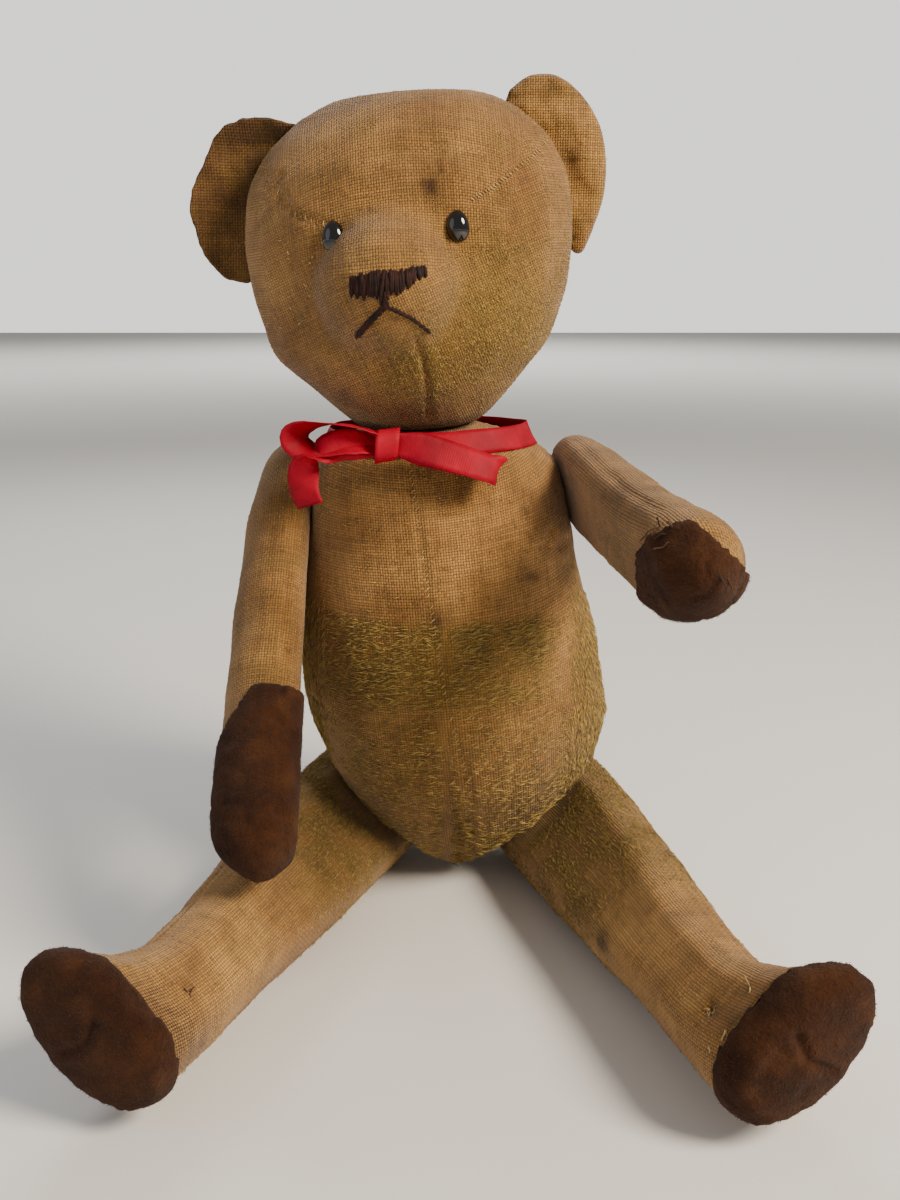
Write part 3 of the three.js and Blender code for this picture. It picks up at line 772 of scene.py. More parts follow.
def stitchesAcross(surface, route, every, reach, lean, keep):
    # short stitches that cross a seam, some of them lost
    out, step = [], (route[1] - route[0]).length
    for i in range(1, len(route) - 1, max(1, round(every / step))):
        if rng.random() > keep:
            continue
        ahead = (route[i + 1] - route[i - 1]).normalized()
        spot, normal, _, _ = surface.find_nearest(route[i])
        across = ahead.cross(normal).normalized()
        ends = [spot - across * reach - ahead * lean, spot, spot + across * reach + ahead * lean]
        lifts = (0.0, 0.5 * mm, 0.0)
        out.append([surface.find_nearest(p)[0] + normal * lift for p, lift in zip(ends, lifts)])
    return out


seamStitches = []
for name, keep in (("rightBrow", 0.75), ("leftBrow", 0.95)):
    seamStitches += stitchesAcross(headSurface, faceSeams[name], 2.2 * mm, 1.2 * mm, 0.5 * mm, keep=keep)
threadObject("head_seam_stitches", seamStitches, 0.17 * mm, "paleThread", "head", "worn_cloth")
chinStitches = stitchesAcross(headSurface, faceSeams["chin"], 1.8 * mm, 0.9 * mm, 0.4 * mm, keep=0.9)
threadObject("chin_seam_stitches", chinStitches, 0.15 * mm, "redThread", "head", "worn_cloth")


# the nose is a block of floss laid side by side; its left end has worn thin
nose = {
    "topLeft": onHead(-22.5, -75, 61.5), "topRight": onHead(3.5, -75, 63.0),
    "drop": 7.8 * mm, "strands": 34, "thick": 0.8 * mm,
    "mouth": [
        [(-10.4, 55), (-10.8, 51.5), (-11.5, 49.5)],
        [(-11.2, 50), (-14, 47.8), (-18, 44.4), (-22.2, 40.4)],
        [(-11.0, 50), (-6, 47.6), (-1, 44.4), (3.8, 40.0)],
    ],
}
routes, widths = [], []
for i in range(nose["strands"]):
    t = i / (nose["strands"] - 1)
    top = nose["topLeft"].lerp(nose["topRight"], t) + Vector((0, 0, rng.normal(0, 0.5) * mm))
    worn = 1.0 - 0.5 * fade(np.array(t), 0.66, 1.0) + 0.3 * math.exp(-((t - 0.42) / 0.12) ** 2)
    drop = nose["drop"] * float(worn) * (1 + rng.normal(0, 0.07))
    lean = Vector((rng.normal(0, 0.5) * mm, 0, -drop))
    line = [top + lean * s for s in (0, 0.2, 0.4, 0.6, 0.8, 1)]
    lifts = (0.0, 0.5, 0.75, 0.75, 0.5, 0.0)
    laid = [p + Vector((0, -h * mm, 0)) for p, h in zip(laidOn(headSurface, line), lifts)]
    routes.append(laid)
    widths.append(nose["thick"] * rng.uniform(0.75, 1.15))
noseObject = threadObject("nose_floss", routes, widths, "floss", "head", "floss", 6)
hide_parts("nose_stitching")
routes, widths = [], []
for line in nose["mouth"]:
    path = laidOn(headSurface, curveThrough([onHead(x, -75, z) for x, z in line], 0.7 * mm), 0.35 * mm)
    wide = 0.45 if line[-1][0] > 0 else 0.72
    for strand in range(3):
        twisted = []
        for i, point in enumerate(path):
            turn = i * 0.75 + strand * 2 * math.pi / 3
            twisted.append(point + Vector((math.cos(turn), -0.5, math.sin(turn))) * wide * 0.8 * mm)
        routes.append(twisted)
        widths.append(wide * mm)
mouthObject = threadObject("mouth_floss", routes, widths, "floss", "head", "floss", 6)
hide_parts("mouth_stitching")


# each eye is a black bead, set into the cloth
for name, centre in head["eyes"].items():
    bpy.ops.object.select_all(action="DESELECT")
    bpy.ops.mesh.primitive_uv_sphere_add(segments=40, ring_count=24, radius=1, location=(0, 0, 0))
    eye = bpy.context.object
    eye.name = f"{name}_bead"
    shape = coordinates(eye)
    shape[:, 2] += 0.12 * (1 - shape[:, 2] ** 2)  # fuller at the bottom than at the top
    shape[:, 2] *= -1
    shape *= np.array(head["eyeRadii"]) * mm
    turned = np.array([tuple(headTurn @ Vector(p)) for p in shape])
    seated, normal, _, _ = headSurface.ray_cast(onHead(*centre) + Vector((0, -0.1, 0)), Vector((0, 1, 0)))
    moveTo(eye, turned + np.array(seated + Vector((0, -0.4 * mm, 0))))
    bpy.ops.object.mode_set(mode="EDIT")
    bpy.ops.mesh.select_all(action="SELECT")
    bpy.ops.mesh.normals_make_consistent(inside=False)
    bpy.ops.object.mode_set(mode="OBJECT")
    bpy.ops.object.shade_smooth()
    eye.data.materials.append(finishes["glass"])
    place(eye, "head", "eye_glass", (name,))
print("face done")


# Torso
torso = {
    "spacing": 1.7 * mm,
    "soften": 6.0 * mm,
    "finish": "body",
    "lumpSize": 30 * mm,
    "lumpDepth": 1.1 * mm,
    "dimpleSize": 8 * mm,
    "dimpleDepth": 0.22 * mm,
    "darkPatches": [(30, 151, 4, 2.5, 0.8), (-7, 137, 4.5, 2.5, 0.6)],
}
torsoSkin = stuffedPart(
    "torso_cloth", ("torso_cover",), at(2, -12, 34), at(-10, -33, 168), Vector((0, -1, 0)),
    (34 * mm, 40 * mm), 420 * mm, torso,
)
lumpy(torsoSkin, torso, 11.0)
for name, joint in joints.items():
    keptClear(torsoSkin, joint, 1, 40 * mm)
torsoSurface = surfaceOf(torsoSkin)
frontSeam = [
    at(-19, -80, 201), at(-15, -80, 172), at(-11, -80, 143), at(-5, -95, 110),
    at(0, -95, 88), at(5, -95, 67), at(6, -95, 45), at(6, -95, 30),
]
frontSeam = laidOn(torsoSurface, curveThrough(frontSeam, 1.3 * mm))
backSeam = [at(-11, 0, 203), at(-9, 0, 170), at(-4, 0, 120), at(0, 0, 70), at(2, 0, 22)]
backSeam = laidOn(torsoSurface, curveThrough(backSeam, 1.3 * mm), toward=Vector((0, -1, 0)))
sewnSeam(torsoSkin, frontSeam, 0.9 * mm, 1.3 * mm, 0.22 * mm)
sewnSeam(torsoSkin, backSeam, 1.1 * mm, 1.6 * mm, 0.4 * mm)
# worn creases under the bear's left arm
crease = laidOn(torsoSurface, curveThrough([at(47, -70, 168), at(40, -75, 163), at(34, -78, 165)], 1.3 * mm))
sewnSeam(torsoSkin, crease, 1.2 * mm, 2.0 * mm, 0.0)
overStuffing(torsoSkin, "torso")
world = coordinates(torsoSkin)
x, y, z = local(world).T
patchy = noiseOver(world, 14 * mm, 1.0)
fine = noiseOver(world, 3.5 * mm, 6.0)
front = fade(-y, 55, 75)
# the pile on the belly stops at a straight top edge
band = 0.85 * fade(z, 92 + 10 * patchy, 106) * (1 - fade(z, 133.0, 136.5)) * front
band *= 1 - 0.9 * fade(x, 32, 46)
lower = (1 - fade(z, 84, 108)) * 0.5 * front
belly = (1 - fade(z, 34, 62)) * 0.6
sides = fade(np.abs(x + 4), 46, 58) * (1 - fade(z, 120, 170)) * 0.85
back = fade(y, -20, 5) * 0.7
torsoPile = np.maximum.reduce([band, lower, belly, sides, back]) * (0.8 + 0.4 * patchy) + 0.04 + 0.12 * fine
setAttribute(torsoSkin, "pile", torsoPile)
# patchy soil and specks, and painted shade low on the torso, where it sits on the floor between the legs
soilAndShade = 0.3 * fade(patchy, 0.15, 0.6) + 0.35 * (1 - fade(z, 20, 60)) + 0.25 * fade(fine, 0.35, 0.6)
for atX, atZ, wide, high, strength in torso["darkPatches"]:
    soilAndShade += strength * frontPatch(x, z, atX, atZ, wide, high) * front
setAttribute(torsoSkin, "soilAndShade", soilAndShade)
place(torsoSkin, "torso", "worn_cloth", ("torso_cover",))
torsoSurface = surfaceOf(torsoSkin)
seamStitches = stitchesAcross(torsoSurface, frontSeam, 2.6 * mm, 1.0 * mm, 0.7 * mm, keep=0.8)
seamStitches += stitchesAcross(torsoSurface, backSeam, 3.6 * mm, 1.5 * mm, 0.8 * mm, keep=0.9)
threadObject("torso_seam_stitches", seamStitches, 0.17 * mm, "paleThread", "torso", "worn_cloth")
print("torso done")


# Arms and legs. Each limb has its own frame, from its joint: out along the pin, along the limb,
# and to its front.
def limbFrame(name, swing):
    joint = joints[name]
    origin, outward = Vector(joint["pos_m"]), Vector(joint["axis"]).normalized()
    upward = (up - outward * up.dot(outward)).normalized()
    forward = upward.cross(outward)
    if forward.y > 0:
        forward = -forward
    swung = math.radians(swing)
    along = forward * math.sin(swung) - upward * math.cos(swung)
    ahead = forward * math.cos(swung) + upward * math.sin(swung)

    def spot(out, front, down):
        return origin + (outward * out + ahead * front + along * down) * mm

    return {"origin": origin, "out": outward, "along": along, "front": ahead, "spot": spot}


def limbPoints(obj, limb):
    off = coordinates(obj) - np.array(limb["origin"])
    return [off @ np.array(limb[key]) / mm for key in ("out", "front", "along")]


limbs = {
    "arm_left": {"swing": 86, "start": (8, 0, -4), "end": (12, 6, 154), "caps": (16, 17), "girth": 116},
    "arm_right": {"swing": 42, "start": (8, 0, -4), "end": (12, 6, 154), "caps": (16, 17), "girth": 116},
    "leg_left": {"swing": 90, "start": (13, 0, -8), "end": (17, 10, 200), "caps": (24, 22), "girth": 170},
    "leg_right": {"swing": 90, "start": (13, 0, -8), "end": (17, 10, 200), "caps": (24, 22), "girth": 170},
}
limbCloth = {
    "spacing": 1.6 * mm,
    "soften": 3.2 * mm,
    "lumpSize": 20 * mm,
    "lumpDepth": 0.8 * mm,
    "dimpleSize": 6 * mm,
    "dimpleDepth": 0.2 * mm,
}
limbSkins = {}
for number, (name, limb) in enumerate(limbs.items()):
    limb.update(limbFrame(name, limb["swing"]))
    pad = name.replace("arm", "paw_pad").replace("leg", "foot_pad")
    settings = {**limbCloth, "finish": "body" if "arm" in name else "legs"}
    topLine = up if "leg" in name else limb["front"]
    skin = stuffedPart(
        f"{name}_cloth", (f"{name}_cover", pad), limb["spot"](*limb["start"]), limb["spot"](*limb["end"]),
        topLine, [cap * mm for cap in limb["caps"]], limb["girth"] * mm, settings,
    )
    lumpy(skin, limbCloth, 20.0 + number)
    keptClear(skin, joints[name], -1, 300 * mm, 0.35 * mm)
    limbSkins[name] = skin
    print(f"{name} shaped")


# A felt pad lies over the cloth: part of the skin again, cut by planes and given a thickness.
def feltOver(name, skin, body, cuts, replaced, settings, seed):
    mesh, surface = bmesh.new(), surfaceOf(skin)
    mesh.from_mesh(skin.data)
    for spot, normal in cuts:
        geometry = mesh.verts[:] + mesh.edges[:] + mesh.faces[:]
        bmesh.ops.bisect_plane(mesh, geom=geometry, plane_co=spot, plane_no=normal, clear_inner=True)
    edge = {v for e in mesh.edges if e.is_boundary for v in e.verts}
    for vertex in edge:
        ragged = noise.noise(vertex.co / (4.5 * mm) + Vector((seed, 0, 0)))
        ragged += 0.6 * noise.noise(vertex.co / (1.4 * mm) + Vector((seed, 5, 0)))
        vertex.co += cuts[0][1] * ragged * settings["ragged"]
        vertex.co = surface.find_nearest(vertex.co)[0]
    mesh.normal_update()
    for vertex in mesh.verts:
        wrinkle = 1 - abs(noise.noise(vertex.co / settings["wrinkleSize"] + Vector((0, seed, 0)))) * 2
        lift = settings["thick"] * (0.55 if vertex in edge else 1.0)
        vertex.co += vertex.normal * (lift - max(wrinkle - 0.55, 0) * settings["wrinkleDepth"])
    mesh.verts.index_update()
    outer = [v.co.copy() for v in mesh.verts]
    inner = [v.co - v.normal * settings["wall"] for v in mesh.verts]
    faces = [[v.index for v in f.verts] for f in mesh.faces]
    count = len(outer)
    rims = []
    for e in mesh.edges:
        if e.is_boundary:
            a, b = [loop.vert.index for loop in (e.link_loops[0], e.link_loops[0].link_loop_next)]
            rims.append((b, a, a + count, b + count))
    under = [[v + count for v in reversed(f)] for f in faces]
    mesh.free()
    obj = newObject(name, outer + inner, faces + under + rims, "felt")
    world = coordinates(obj)
    broad, fine = noiseOver(world, 9 * mm, seed), noiseOver(world, 3 * mm, seed)
    setAttribute(obj, "pile", fade(broad, 0.05, 0.5) * 0.7 + fade(fine, 0.2, 0.6) * 0.3)
    place(obj, body, "felt", replaced)
    return obj


sole = {
    "thick": 1.6 * mm, "wall": 2.0 * mm, "ragged": 1.0 * mm,
    "wrinkleSize": 13 * mm, "wrinkleDepth": 0.9 * mm, "seed": 3.0,
    "folds": [
        [(8, 14, 225), (16, 11, 226), (27, 13, 222)], [(22, -14, 224), (15, -18, 224), (10, -15, 224)],
    ],
}
paw = {
    "thick": 1.6 * mm, "wall": 2.0 * mm, "ragged": 0.9 * mm,
    "wrinkleSize": 10 * mm, "wrinkleDepth": 1.4 * mm, "seed": 7.0,
    "folds": [
        [(26, 18, 146), (14, 24, 149), (2, 24, 152)], [(24, 16, 152), (12, 22, 156), (0, 20, 158)],
        [(0, 26, 118), (6, 26, 114), (12, 26, 113)],
    ],
}
limbSurfaces, padSurfaces, pads = {}, {}, {}
for number, (name, limb) in enumerate(limbs.items()):
    skin = limbSkins[name]
    out, front, along = limbPoints(skin, limb)
    world = coordinates(skin)
    patchy, fine = noiseOver(world, 12 * mm, 30.0 + number), noiseOver(world, 3 * mm, 40.0 + number)
    facingUp = normals(skin)[:, 2]
    limbSurfaces[name] = surfaceOf(skin)
    right = "right" in name
    # each limb is two panels, joined by seams along its front and its back
    for offset in (-1, 1):
        downs = range(6, 205 if "leg" in name else 150, 12)
        seam = curveThrough([limb["spot"](limb["start"][0], offset * 60, down) for down in downs], 1.4 * mm)
        seam = laidOn(limbSurfaces[name], seam, toward=-limb["front"] * offset)
        sewnSeam(skin, seam, 0.6 * mm, 1.2 * mm, 0.2 * mm)
    overStuffing(skin, name)
    keptClear(skin, joints[name], -1, 300 * mm)
    onFloor(skin)
    if "leg" in name:
        reachDown = 78 if right else 92
        worn = 1 - fade(along + 22 * patchy, reachDown, reachDown + 55)
        pile = worn * (0.45 + 0.55 * fade(facingUp, -0.5, 0.5)) * (0.75 + 0.8 * patchy)
        pile += 0.06 + 0.12 * fine
        pile[(facingUp < -0.6)] += 0.25
        soilAndShade = 0.25 * fade(patchy, 0.1, 0.5) + 0.3 * fade(fine, 0.4, 0.65) * worn
        # darker towards the foot end, and painted shade at the hip end, where the leg meets the torso
        soilAndShade += 0.2 * fade(along, 185, 206) + 0.35 * (1 - fade(along, 0, 22))
    else:
        pile = 0.16 + 0.35 * fade(-facingUp, 0.0, 0.7) + 0.4 * np.clip(patchy, 0, 1) + 0.1 * fine
        # patchy soil, and painted shade at the shoulder end, where the arm meets the torso
        soilAndShade = 0.2 * fade(patchy, 0.1, 0.5) + 0.3 * (1 - fade(along, -4, 20))
        soilAndShade += (0.1 if right else 0.16) * fade(fine, 0.1, 0.6)
    if name == "leg_right":
        # the weave is pulled open beside the sole
        opened = curveThrough([at(-103, -190, 30), at(-96, -190, 22), at(-88, -190, 15)], 1.0 * mm)
        far = distanceTo(laidOn(limbSurfaces[name], opened), world)[0]
        setAttribute(skin, "open", np.exp(-(far / (8.0 * mm)) ** 2) * (0.8 + fine))
    if name == "leg_left":
        # a rusty stain above the knee, and two small holes
        blot = laidOn(limbSurfaces[name], [at(53.5, -150, 30)])[0]
        off = np.linalg.norm((world - np.array(blot)) * (1.6, 0.75, 1), axis=1)
        soilAndShade += np.exp(-(off / (5.0 * mm)) ** 2)
        for hole in laidOn(limbSurfaces[name], [at(94.7, -150, 2.1), at(74, -120, 62)]):
            off = np.linalg.norm(world - np.array(hole), axis=1)
            pushOut(skin, -1.6 * mm * np.exp(-(off / (2.2 * mm)) ** 2))
            soilAndShade += 0.9 * np.exp(-(off / (2.0 * mm)) ** 2)
    setAttribute(skin, "pile", pile)
    setAttribute(skin, "soilAndShade", soilAndShade)
    place(skin, name, "worn_cloth", (f"{name}_cover",))
    spot, outward, forward, downward = limb["spot"], limb["out"], limb["front"], limb["along"]
    if "leg" in name:
        cuts = [(spot(0, 0, 209.5), downward + outward * 0.04)]
        pad, covered, settings = "sole", name.replace("leg", "foot_pad"), sole
    else:
        # a side cut and a cut across the wrist; the left pad has also lost its top corner
        if right:
            side = outward * -0.78 + Vector((0, -0.52, 0)) + downward * 0.24
            cuts = [(spot(9, 0, 100), side), (spot(12, 0, 99), downward)]
        else:
            side = forward * -0.86 + downward * 0.5
            torn = outward * -0.81 - forward * 0.58 + downward * 0.1
            cuts = [(spot(12, 10, 136), side), (spot(12, 0, 128), downward - forward * 0.4),
                    (spot(15.7, 17.5, 158), torn)]
        pad, covered, settings = "pad", name.replace("arm", "paw_pad"), paw
    felt = feltOver(f"{name}_{pad}_felt", skin, name, cuts, (covered,), settings, settings["seed"] + number)
    for fold in settings["folds"]:
        route = curveThrough([spot(*creased) for creased in fold], 1.2 * mm)
        feltSurface = surfaceOf(felt)
        route = [feltSurface.find_nearest(point)[0] for point in route]
        sewnSeam(felt, route, 1.1 * mm, 1.5 * mm, 0.0)
    onFloor(felt)
    padSurfaces[name] = surfaceOf(felt)
    pads[name] = felt
    limbSurfaces[name] = surfaceOf(skin)
print("limbs done")


# Each ear is two layers sewn round the edge. The outline is given in the plane of the ear.
ears = {
    "ear_right": {
        "outline": [
            (-103, 311), (-108, 300), (-107, 287), (-103, 276), (-95, 268), (-86, 266), (-76, 272),
            (-68, 286), (-62, 302), (-58, 318), (-62, 326), (-73, 329.5), (-86, 329.5), (-96, 324),
        ],
        "centre": (-86, 300), "depth": -30, "thick": 2.4, "round": 6, "cup": 7.0, "ragged": 0.9,
        "fold": ((-66, 322), (-96, 318)), "foldDepth": 6.5, "puckers": 0,
        # this ear's darker finish and its stronger darkening are painted shade
        "finish": "ears", "fill": 0.3, "soilAndShade": 0.34, "frayEvery": 3,
    },
    "ear_left": {
        "outline": [
            (19, 335), (22, 341), (30, 345.5), (40, 345), (50, 338), (57, 327), (60, 314),
            (59.5, 300), (55, 286), (51, 278), (46, 280), (41, 292), (36, 306), (28, 320),
        ],
        "centre": (45, 314), "depth": -34, "thick": 14.0, "round": 2.2, "cup": 2.0, "ragged": 0.3,
        "fold": ((50, 300), (34, 330)), "foldDepth": 2.6, "puckers": 0.9,
        "finish": "head", "fill": 0.7, "soilAndShade": 0.1, "frayEvery": 9,
    },
}


def earPoint(ear, number, spot, share, face):
    # a dished sheet with a rolled edge, a fold line and small crumples
    bulge = ear["thick"] / 2 * max(1 - share ** ear["round"], 0) ** 0.6
    dish = ear["cup"] * (share ** 2 - 0.4)
    foldStart, foldEnd = [Vector((x, ear["depth"], z)) for x, z in ear["fold"]]
    way = foldEnd - foldStart
    t = max(0.0, min(1.0, (spot - foldStart).dot(way) / way.length_squared))
    crease = ear["foldDepth"] * math.exp(-((spot - foldStart - way * t).length / 4.5) ** 2)
    crease *= 0.3 + 0.7 * (1 - t)
    crumple = 1.0 * noise.noise(spot / 9 + Vector((number * 7.0, 0, 0))) + 0.5 * noise.noise(spot / 4)
    # puckers along the edge that is sewn to the head
    sewn = math.exp(-max(0.0, spot.x - 24 - (335 - spot.z) * 0.42) / 6)
    crumple += ear["puckers"] * sewn * math.sin(spot.z * 1.05)
    y = spot.y - dish + crumple + (crease if face < 0 else crease * 0.9) + face * bulge
    return at(spot.x, y, spot.z)


for number, (name, ear) in enumerate(ears.items()):
    outline = [Vector((x, ear["depth"], z)) for x, z in ear["outline"]]
    rim = curveThrough(outline + outline[:1], 1.0)[:-1]
    middle = Vector((ear["centre"][0], ear["depth"], ear["centre"][1]))
    rings, sectors = 22, len(rim)
    layers = []
    for face in (-1, 1):
        shares = [(i / rings) ** 0.8 for i in range(1, rings + (1 if face < 0 else 0))]
        ringPoints = []
        for share in shares:
            ringPoints.append([])
            for edge in rim:
                ragged = 1 + ear["ragged"] / 30 * noise.noise(edge / 3.5) * share ** 4
                spot = middle + (edge - middle) * share * ragged
                ringPoints[-1].append(earPoint(ear, number, spot, share, face))
        layers.append(ringPoints if face < 0 else ringPoints[::-1])
    grid = np.array([[tuple(p) for p in ring] for ring in layers[0] + layers[1]])
    poles = [np.array(earPoint(ear, number, middle, 0, face))[None] for face in (-1, 1)]
    points = np.vstack([poles[0], grid.reshape(-1, 3), poles[1]])
    obj = newObject(f"{name}_cloth", points, gridFaces(grid.shape[0], sectors), ear["finish"])
    facesOutward(obj)
    layer = obj.data.uv_layers.new(name="cloth")
    for polygon in obj.data.polygons:
        for corner, v in zip(polygon.loop_indices, polygon.vertices):
            spot = obj.data.vertices[v].co
            layer.data[corner].uv = (spot.x, spot.z)
    world = coordinates(obj)
    setAttribute(obj, "pile", 0.22 + 0.5 * noiseOver(world, 7 * mm, 3.0))
    setAttribute(obj, "soilAndShade", ear["soilAndShade"] + 0.5 * noiseOver(world, 10 * mm, 5.0))
    place(obj, "head", "worn_cloth", (name,))
    surface = surfaceOf(obj)
    frays = []
    for edge in rim[::ear["frayEvery"]]:
        root = surface.find_nearest(at(*edge))[0]
        away = (at(*edge) - at(*middle)).normalized()
        bend = Vector(rng.normal(0, 0.5, 3))
        size = rng.uniform(0.6, 2.0) * mm
        half = root + (away + bend * 0.5) * size * 0.5
        frays.append([root - away * 0.5 * mm, half, root + (away + bend) * size])
    threadObject(f"{name}_frays", frays, 0.11 * mm, "paleThread", "head", "worn_cloth", 4)
print("ears done")


# One length of satin ribbon: a band round the neck, two loops and a tail, and a turn round the
# middle of the bow. Each strip runs through points, with the way its width faces at each.
ribbon = {
    "width": 12.0,
    "thick": 0.35,
    "knot": (-27, -79.5, 204.5),
    "knotSize": 6.2,
    "bandHeights": (199.0, 208.0),
    "off": 1.1,  # from the cloth to the middle of the band
    # a flat loop to the bear's left, a loop to its right, and the tail that hangs
    "strips": [
        [
            ((-25, -83, 206), (0.1, 0.1, 1)), ((-10, -86, 203.5), (0.25, 0.1, 1)),
            ((6, -87, 199), (0.35, 0.2, 1)), ((14, -84, 196), (0.4, 0.5, 1)),
            ((16, -80, 195), (0.4, 0.9, 0.8)), ((10, -78.5, 196.5), (0.3, 0.5, 1)),
            ((-6, -79.5, 201), (0.25, 0.1, 1)), ((-22, -79, 204), (0.15, 0, 1)),
        ],
        [
            ((-27, -80, 209), (0, 1, 0.2)), ((-42, -82, 213), (0, 1, 0)),
            ((-57, -81, 212), (0.2, 1, -0.2)), ((-63, -80, 208), (1, 0.5, 0)),
            ((-58, -80, 203), (0.2, 1, 0.4)), ((-42, -82, 204), (0, 0.8, 0.6)),
            ((-28, -80, 205), (0, 0.6, 0.8)),
        ],
        [
            ((-29, -80, 204), (0, 0.3, 1)), ((-46, -83, 205), (0.15, 0.3, 1)),
            ((-58, -83, 198), (0.8, 0.2, 0.6)), ((-60, -81, 188), (1, -0.2, 0.2)),
            ((-57.5, -80, 181), (1, -0.3, 0.1)),
        ],
    ],
}


def stripMesh(path, ways, widths, crinkle, closed=False):
    # a thin closed strip: both faces, its edges and its ends
    points, faces, uvs = [], [], []
    count, columns = len(path), 7
    run = 0.0
    for i in range(count):
        before = path[i - 1] if closed else path[max(i - 1, 0)]
        after = path[(i + 1) % count] if closed else path[min(i + 1, count - 1)]
        ahead = (after - before).normalized()
        across = (ways[i] - ahead * ways[i].dot(ahead)).normalized()
        facing = ahead.cross(across)
        run += (path[i] - path[i - 1]).length if i else 0.0
        for layer in (1, -1):
            for column in range(columns):
                s = column / (columns - 1) - 0.5
                wave = crinkle * math.sin(run / (5.5 * mm) + s * 2.2) * math.sin(run / (17 * mm) + 1.0 + s)
                wave += crinkle * 1.4 * (abs(s) * 2) ** 2 * math.sin(run / (9 * mm) + 2.0 * (s > 0))
                rise = wave * mm + layer * ribbon["thick"] / 2 * mm
                points.append(path[i] + across * s * widths[i] + facing * rise)
                uvs.append((s * widths[i], run))
    width = 2 * columns
    for i in range(count if closed else count - 1):
        a, b = i * width, (i + 1) % count * width
        for column in range(columns - 1):
            faces.append((a + column, b + column, b + column + 1, a + column + 1))
            under = columns + column
            faces.append((a + under, a + under + 1, b + under + 1, b + under))
        faces.append((a, a + columns, b + columns, b))
        faces.append((a + columns - 1, b + columns - 1, b + width - 1, a + width - 1))
    if not closed:
        last = (count - 1) * width
        for column in range(columns - 1):
            under = columns + column
            faces.append((column, column + 1, under + 1, under))
            faces.append((last + column, last + under, last + under + 1, last + column + 1))
    return points, faces, uvs, run


ribbonParts, ribbonLength = [], 0.0
# the band lies on the slope of the shoulders, under the head
band, bandWays, steps = [], [], 150
for i in range(steps):
    turn = 2 * math.pi * i / steps
    away = Vector((math.cos(turn), math.sin(turn), 0))
    droop = 1.6 * math.cos(turn - 0.4) - 0.8 * math.sin(turn)
    starts, reaches = [], []
    for height, share in zip(ribbon["bandHeights"], (1.0, 0.5)):
        start = at(-10, -34, height + share * droop)
        hit = torsoSurface.ray_cast(start + away * 0.1, -away, 0.1)[0]
        starts.append(start)
        reaches.append(((hit - start).length if hit else 38 * mm) + ribbon["off"] * mm)
    lower = starts[0] + away * reaches[0]
    upper = starts[1] + away * max(reaches[1], reaches[0] - (3.5 + ribbon["off"]) * mm)
    band.append((lower + upper) / 2)
    bandWays.append(upper - lower)
band = [sum((band[(i + near) % steps] for near in range(-2, 3)), Vector()) / 5 for i in range(steps)]
ribbonParts.append(stripMesh(band, bandWays, [ribbon["width"] * 0.86 * mm] * steps, 0.35, closed=True))
for strip in ribbon["strips"]:
    path = curveThrough([at(*spot) for spot, _ in strip], 1.3 * mm)
    ways = curveThrough([Vector(way) for _, way in strip], 0.08)
    ways = [ways[min(len(ways) - 1, round(i / (len(path) - 1) * (len(ways) - 1)))] for i in range(len(path))]
    widths = []
    for i in range(len(path)):
        gather = min(1.0, 0.5 + 0.5 * (path[i] - at(*ribbon["knot"])).length / (13 * mm))
        widths.append(ribbon["width"] * gather * mm)
    ribbonParts.append(stripMesh(path, ways, widths, 0.45))
middle, steps = at(*ribbon["knot"]) + Vector((0, -1.5, 0)) * mm, 40
turnRound = []
for i in range(steps):
    t = 2 * math.pi * i / steps
    away = Vector((0.1 * math.sin(t), math.cos(t) * 0.8, math.sin(t)))
    turnRound.append(middle + away * ribbon["knotSize"] * mm)
ribbonParts.append(stripMesh(turnRound, [Vector((1, 0, 0.15))] * steps, [9 * mm] * steps, 0.5, closed=True))
points, faces, uvs = [], [], []
for part in ribbonParts:
    first = len(points)
    points += part[0]
    faces += [[first + v for v in face] for face in part[1]]
    uvs += part[2]
    ribbonLength += part[3]
bow = newObject("ribbon_satin", points, faces, "satin")
facesOutward(bow)
layer = bow.data.uv_layers.new(name="cloth")
for corner in bow.data.loops:
    layer.data[corner.index].uv = uvs[corner.vertex_index]
place(bow, "torso", "ribbon_satin", ("ribbon",))
print("ribbon done", round(ribbonLength, 3))


# Pile, combed down each part
def combed(way):
    return lambda roots: np.tile(np.array(way, float), (len(roots), 1))


def torsoLay(roots):
    x, y, z = local(roots).T
    comb = np.zeros((len(roots), 3))
    side = fade(np.abs(x + 4), 44, 54)
    comb[:, 0] = np.where(x > -4, 1.0, -1.0) * (1 - side)
    comb[:, 2] = np.where(x > -4, 0.3, -0.1) * (1 - side) - side
    comb[:, 2] -= 0.7 * (y > -30)
    return comb


def headLay(roots):
    comb = np.zeros((len(roots), 3))
    comb[:, 0] = (local(roots)[:, 0] + 12) / 60
    comb[:, 2] = -1.0
    return comb


strands = {
    "least": 0.02,  # of the densest patch, how much pile is left on bare cloth
    "contrast": 1.3,
    "stray": 0.24,
    "rise": 0.2,
    "tone": 0.5,
    "finish": "pile",
    "onPad": False,
}
pileObject("torso_pile", torsoSkin, "torso", 30000, 6.4 * mm, 0.17 * mm, torsoLay, strands, 51)
pileObject("head_pile", headSkin, "head", 14000, 2.6 * mm, 0.13 * mm, headLay, {**strands, "stray": 0.5}, 52)
for number, (name, limb) in enumerate(limbs.items()):
    length, count = (4.2 * mm, 19000) if "leg" in name else (1.8 * mm, 6000)
    lay = combed(limb["along"])
    pileObject(f"{name}_pile", limbSkins[name], name, count, length, 0.14 * mm, lay, strands, 60 + number)
    fuzz = {**strands, "least": 0.6, "stray": 1.0, "rise": 0.9, "onPad": True, "finish": "feltFuzz"}
    pileObject(f"{name}_felt_fuzz", pads[name], name, 6000, 1.3 * mm, 0.07 * mm, lay, fuzz, 80 + number)
print("pile done")


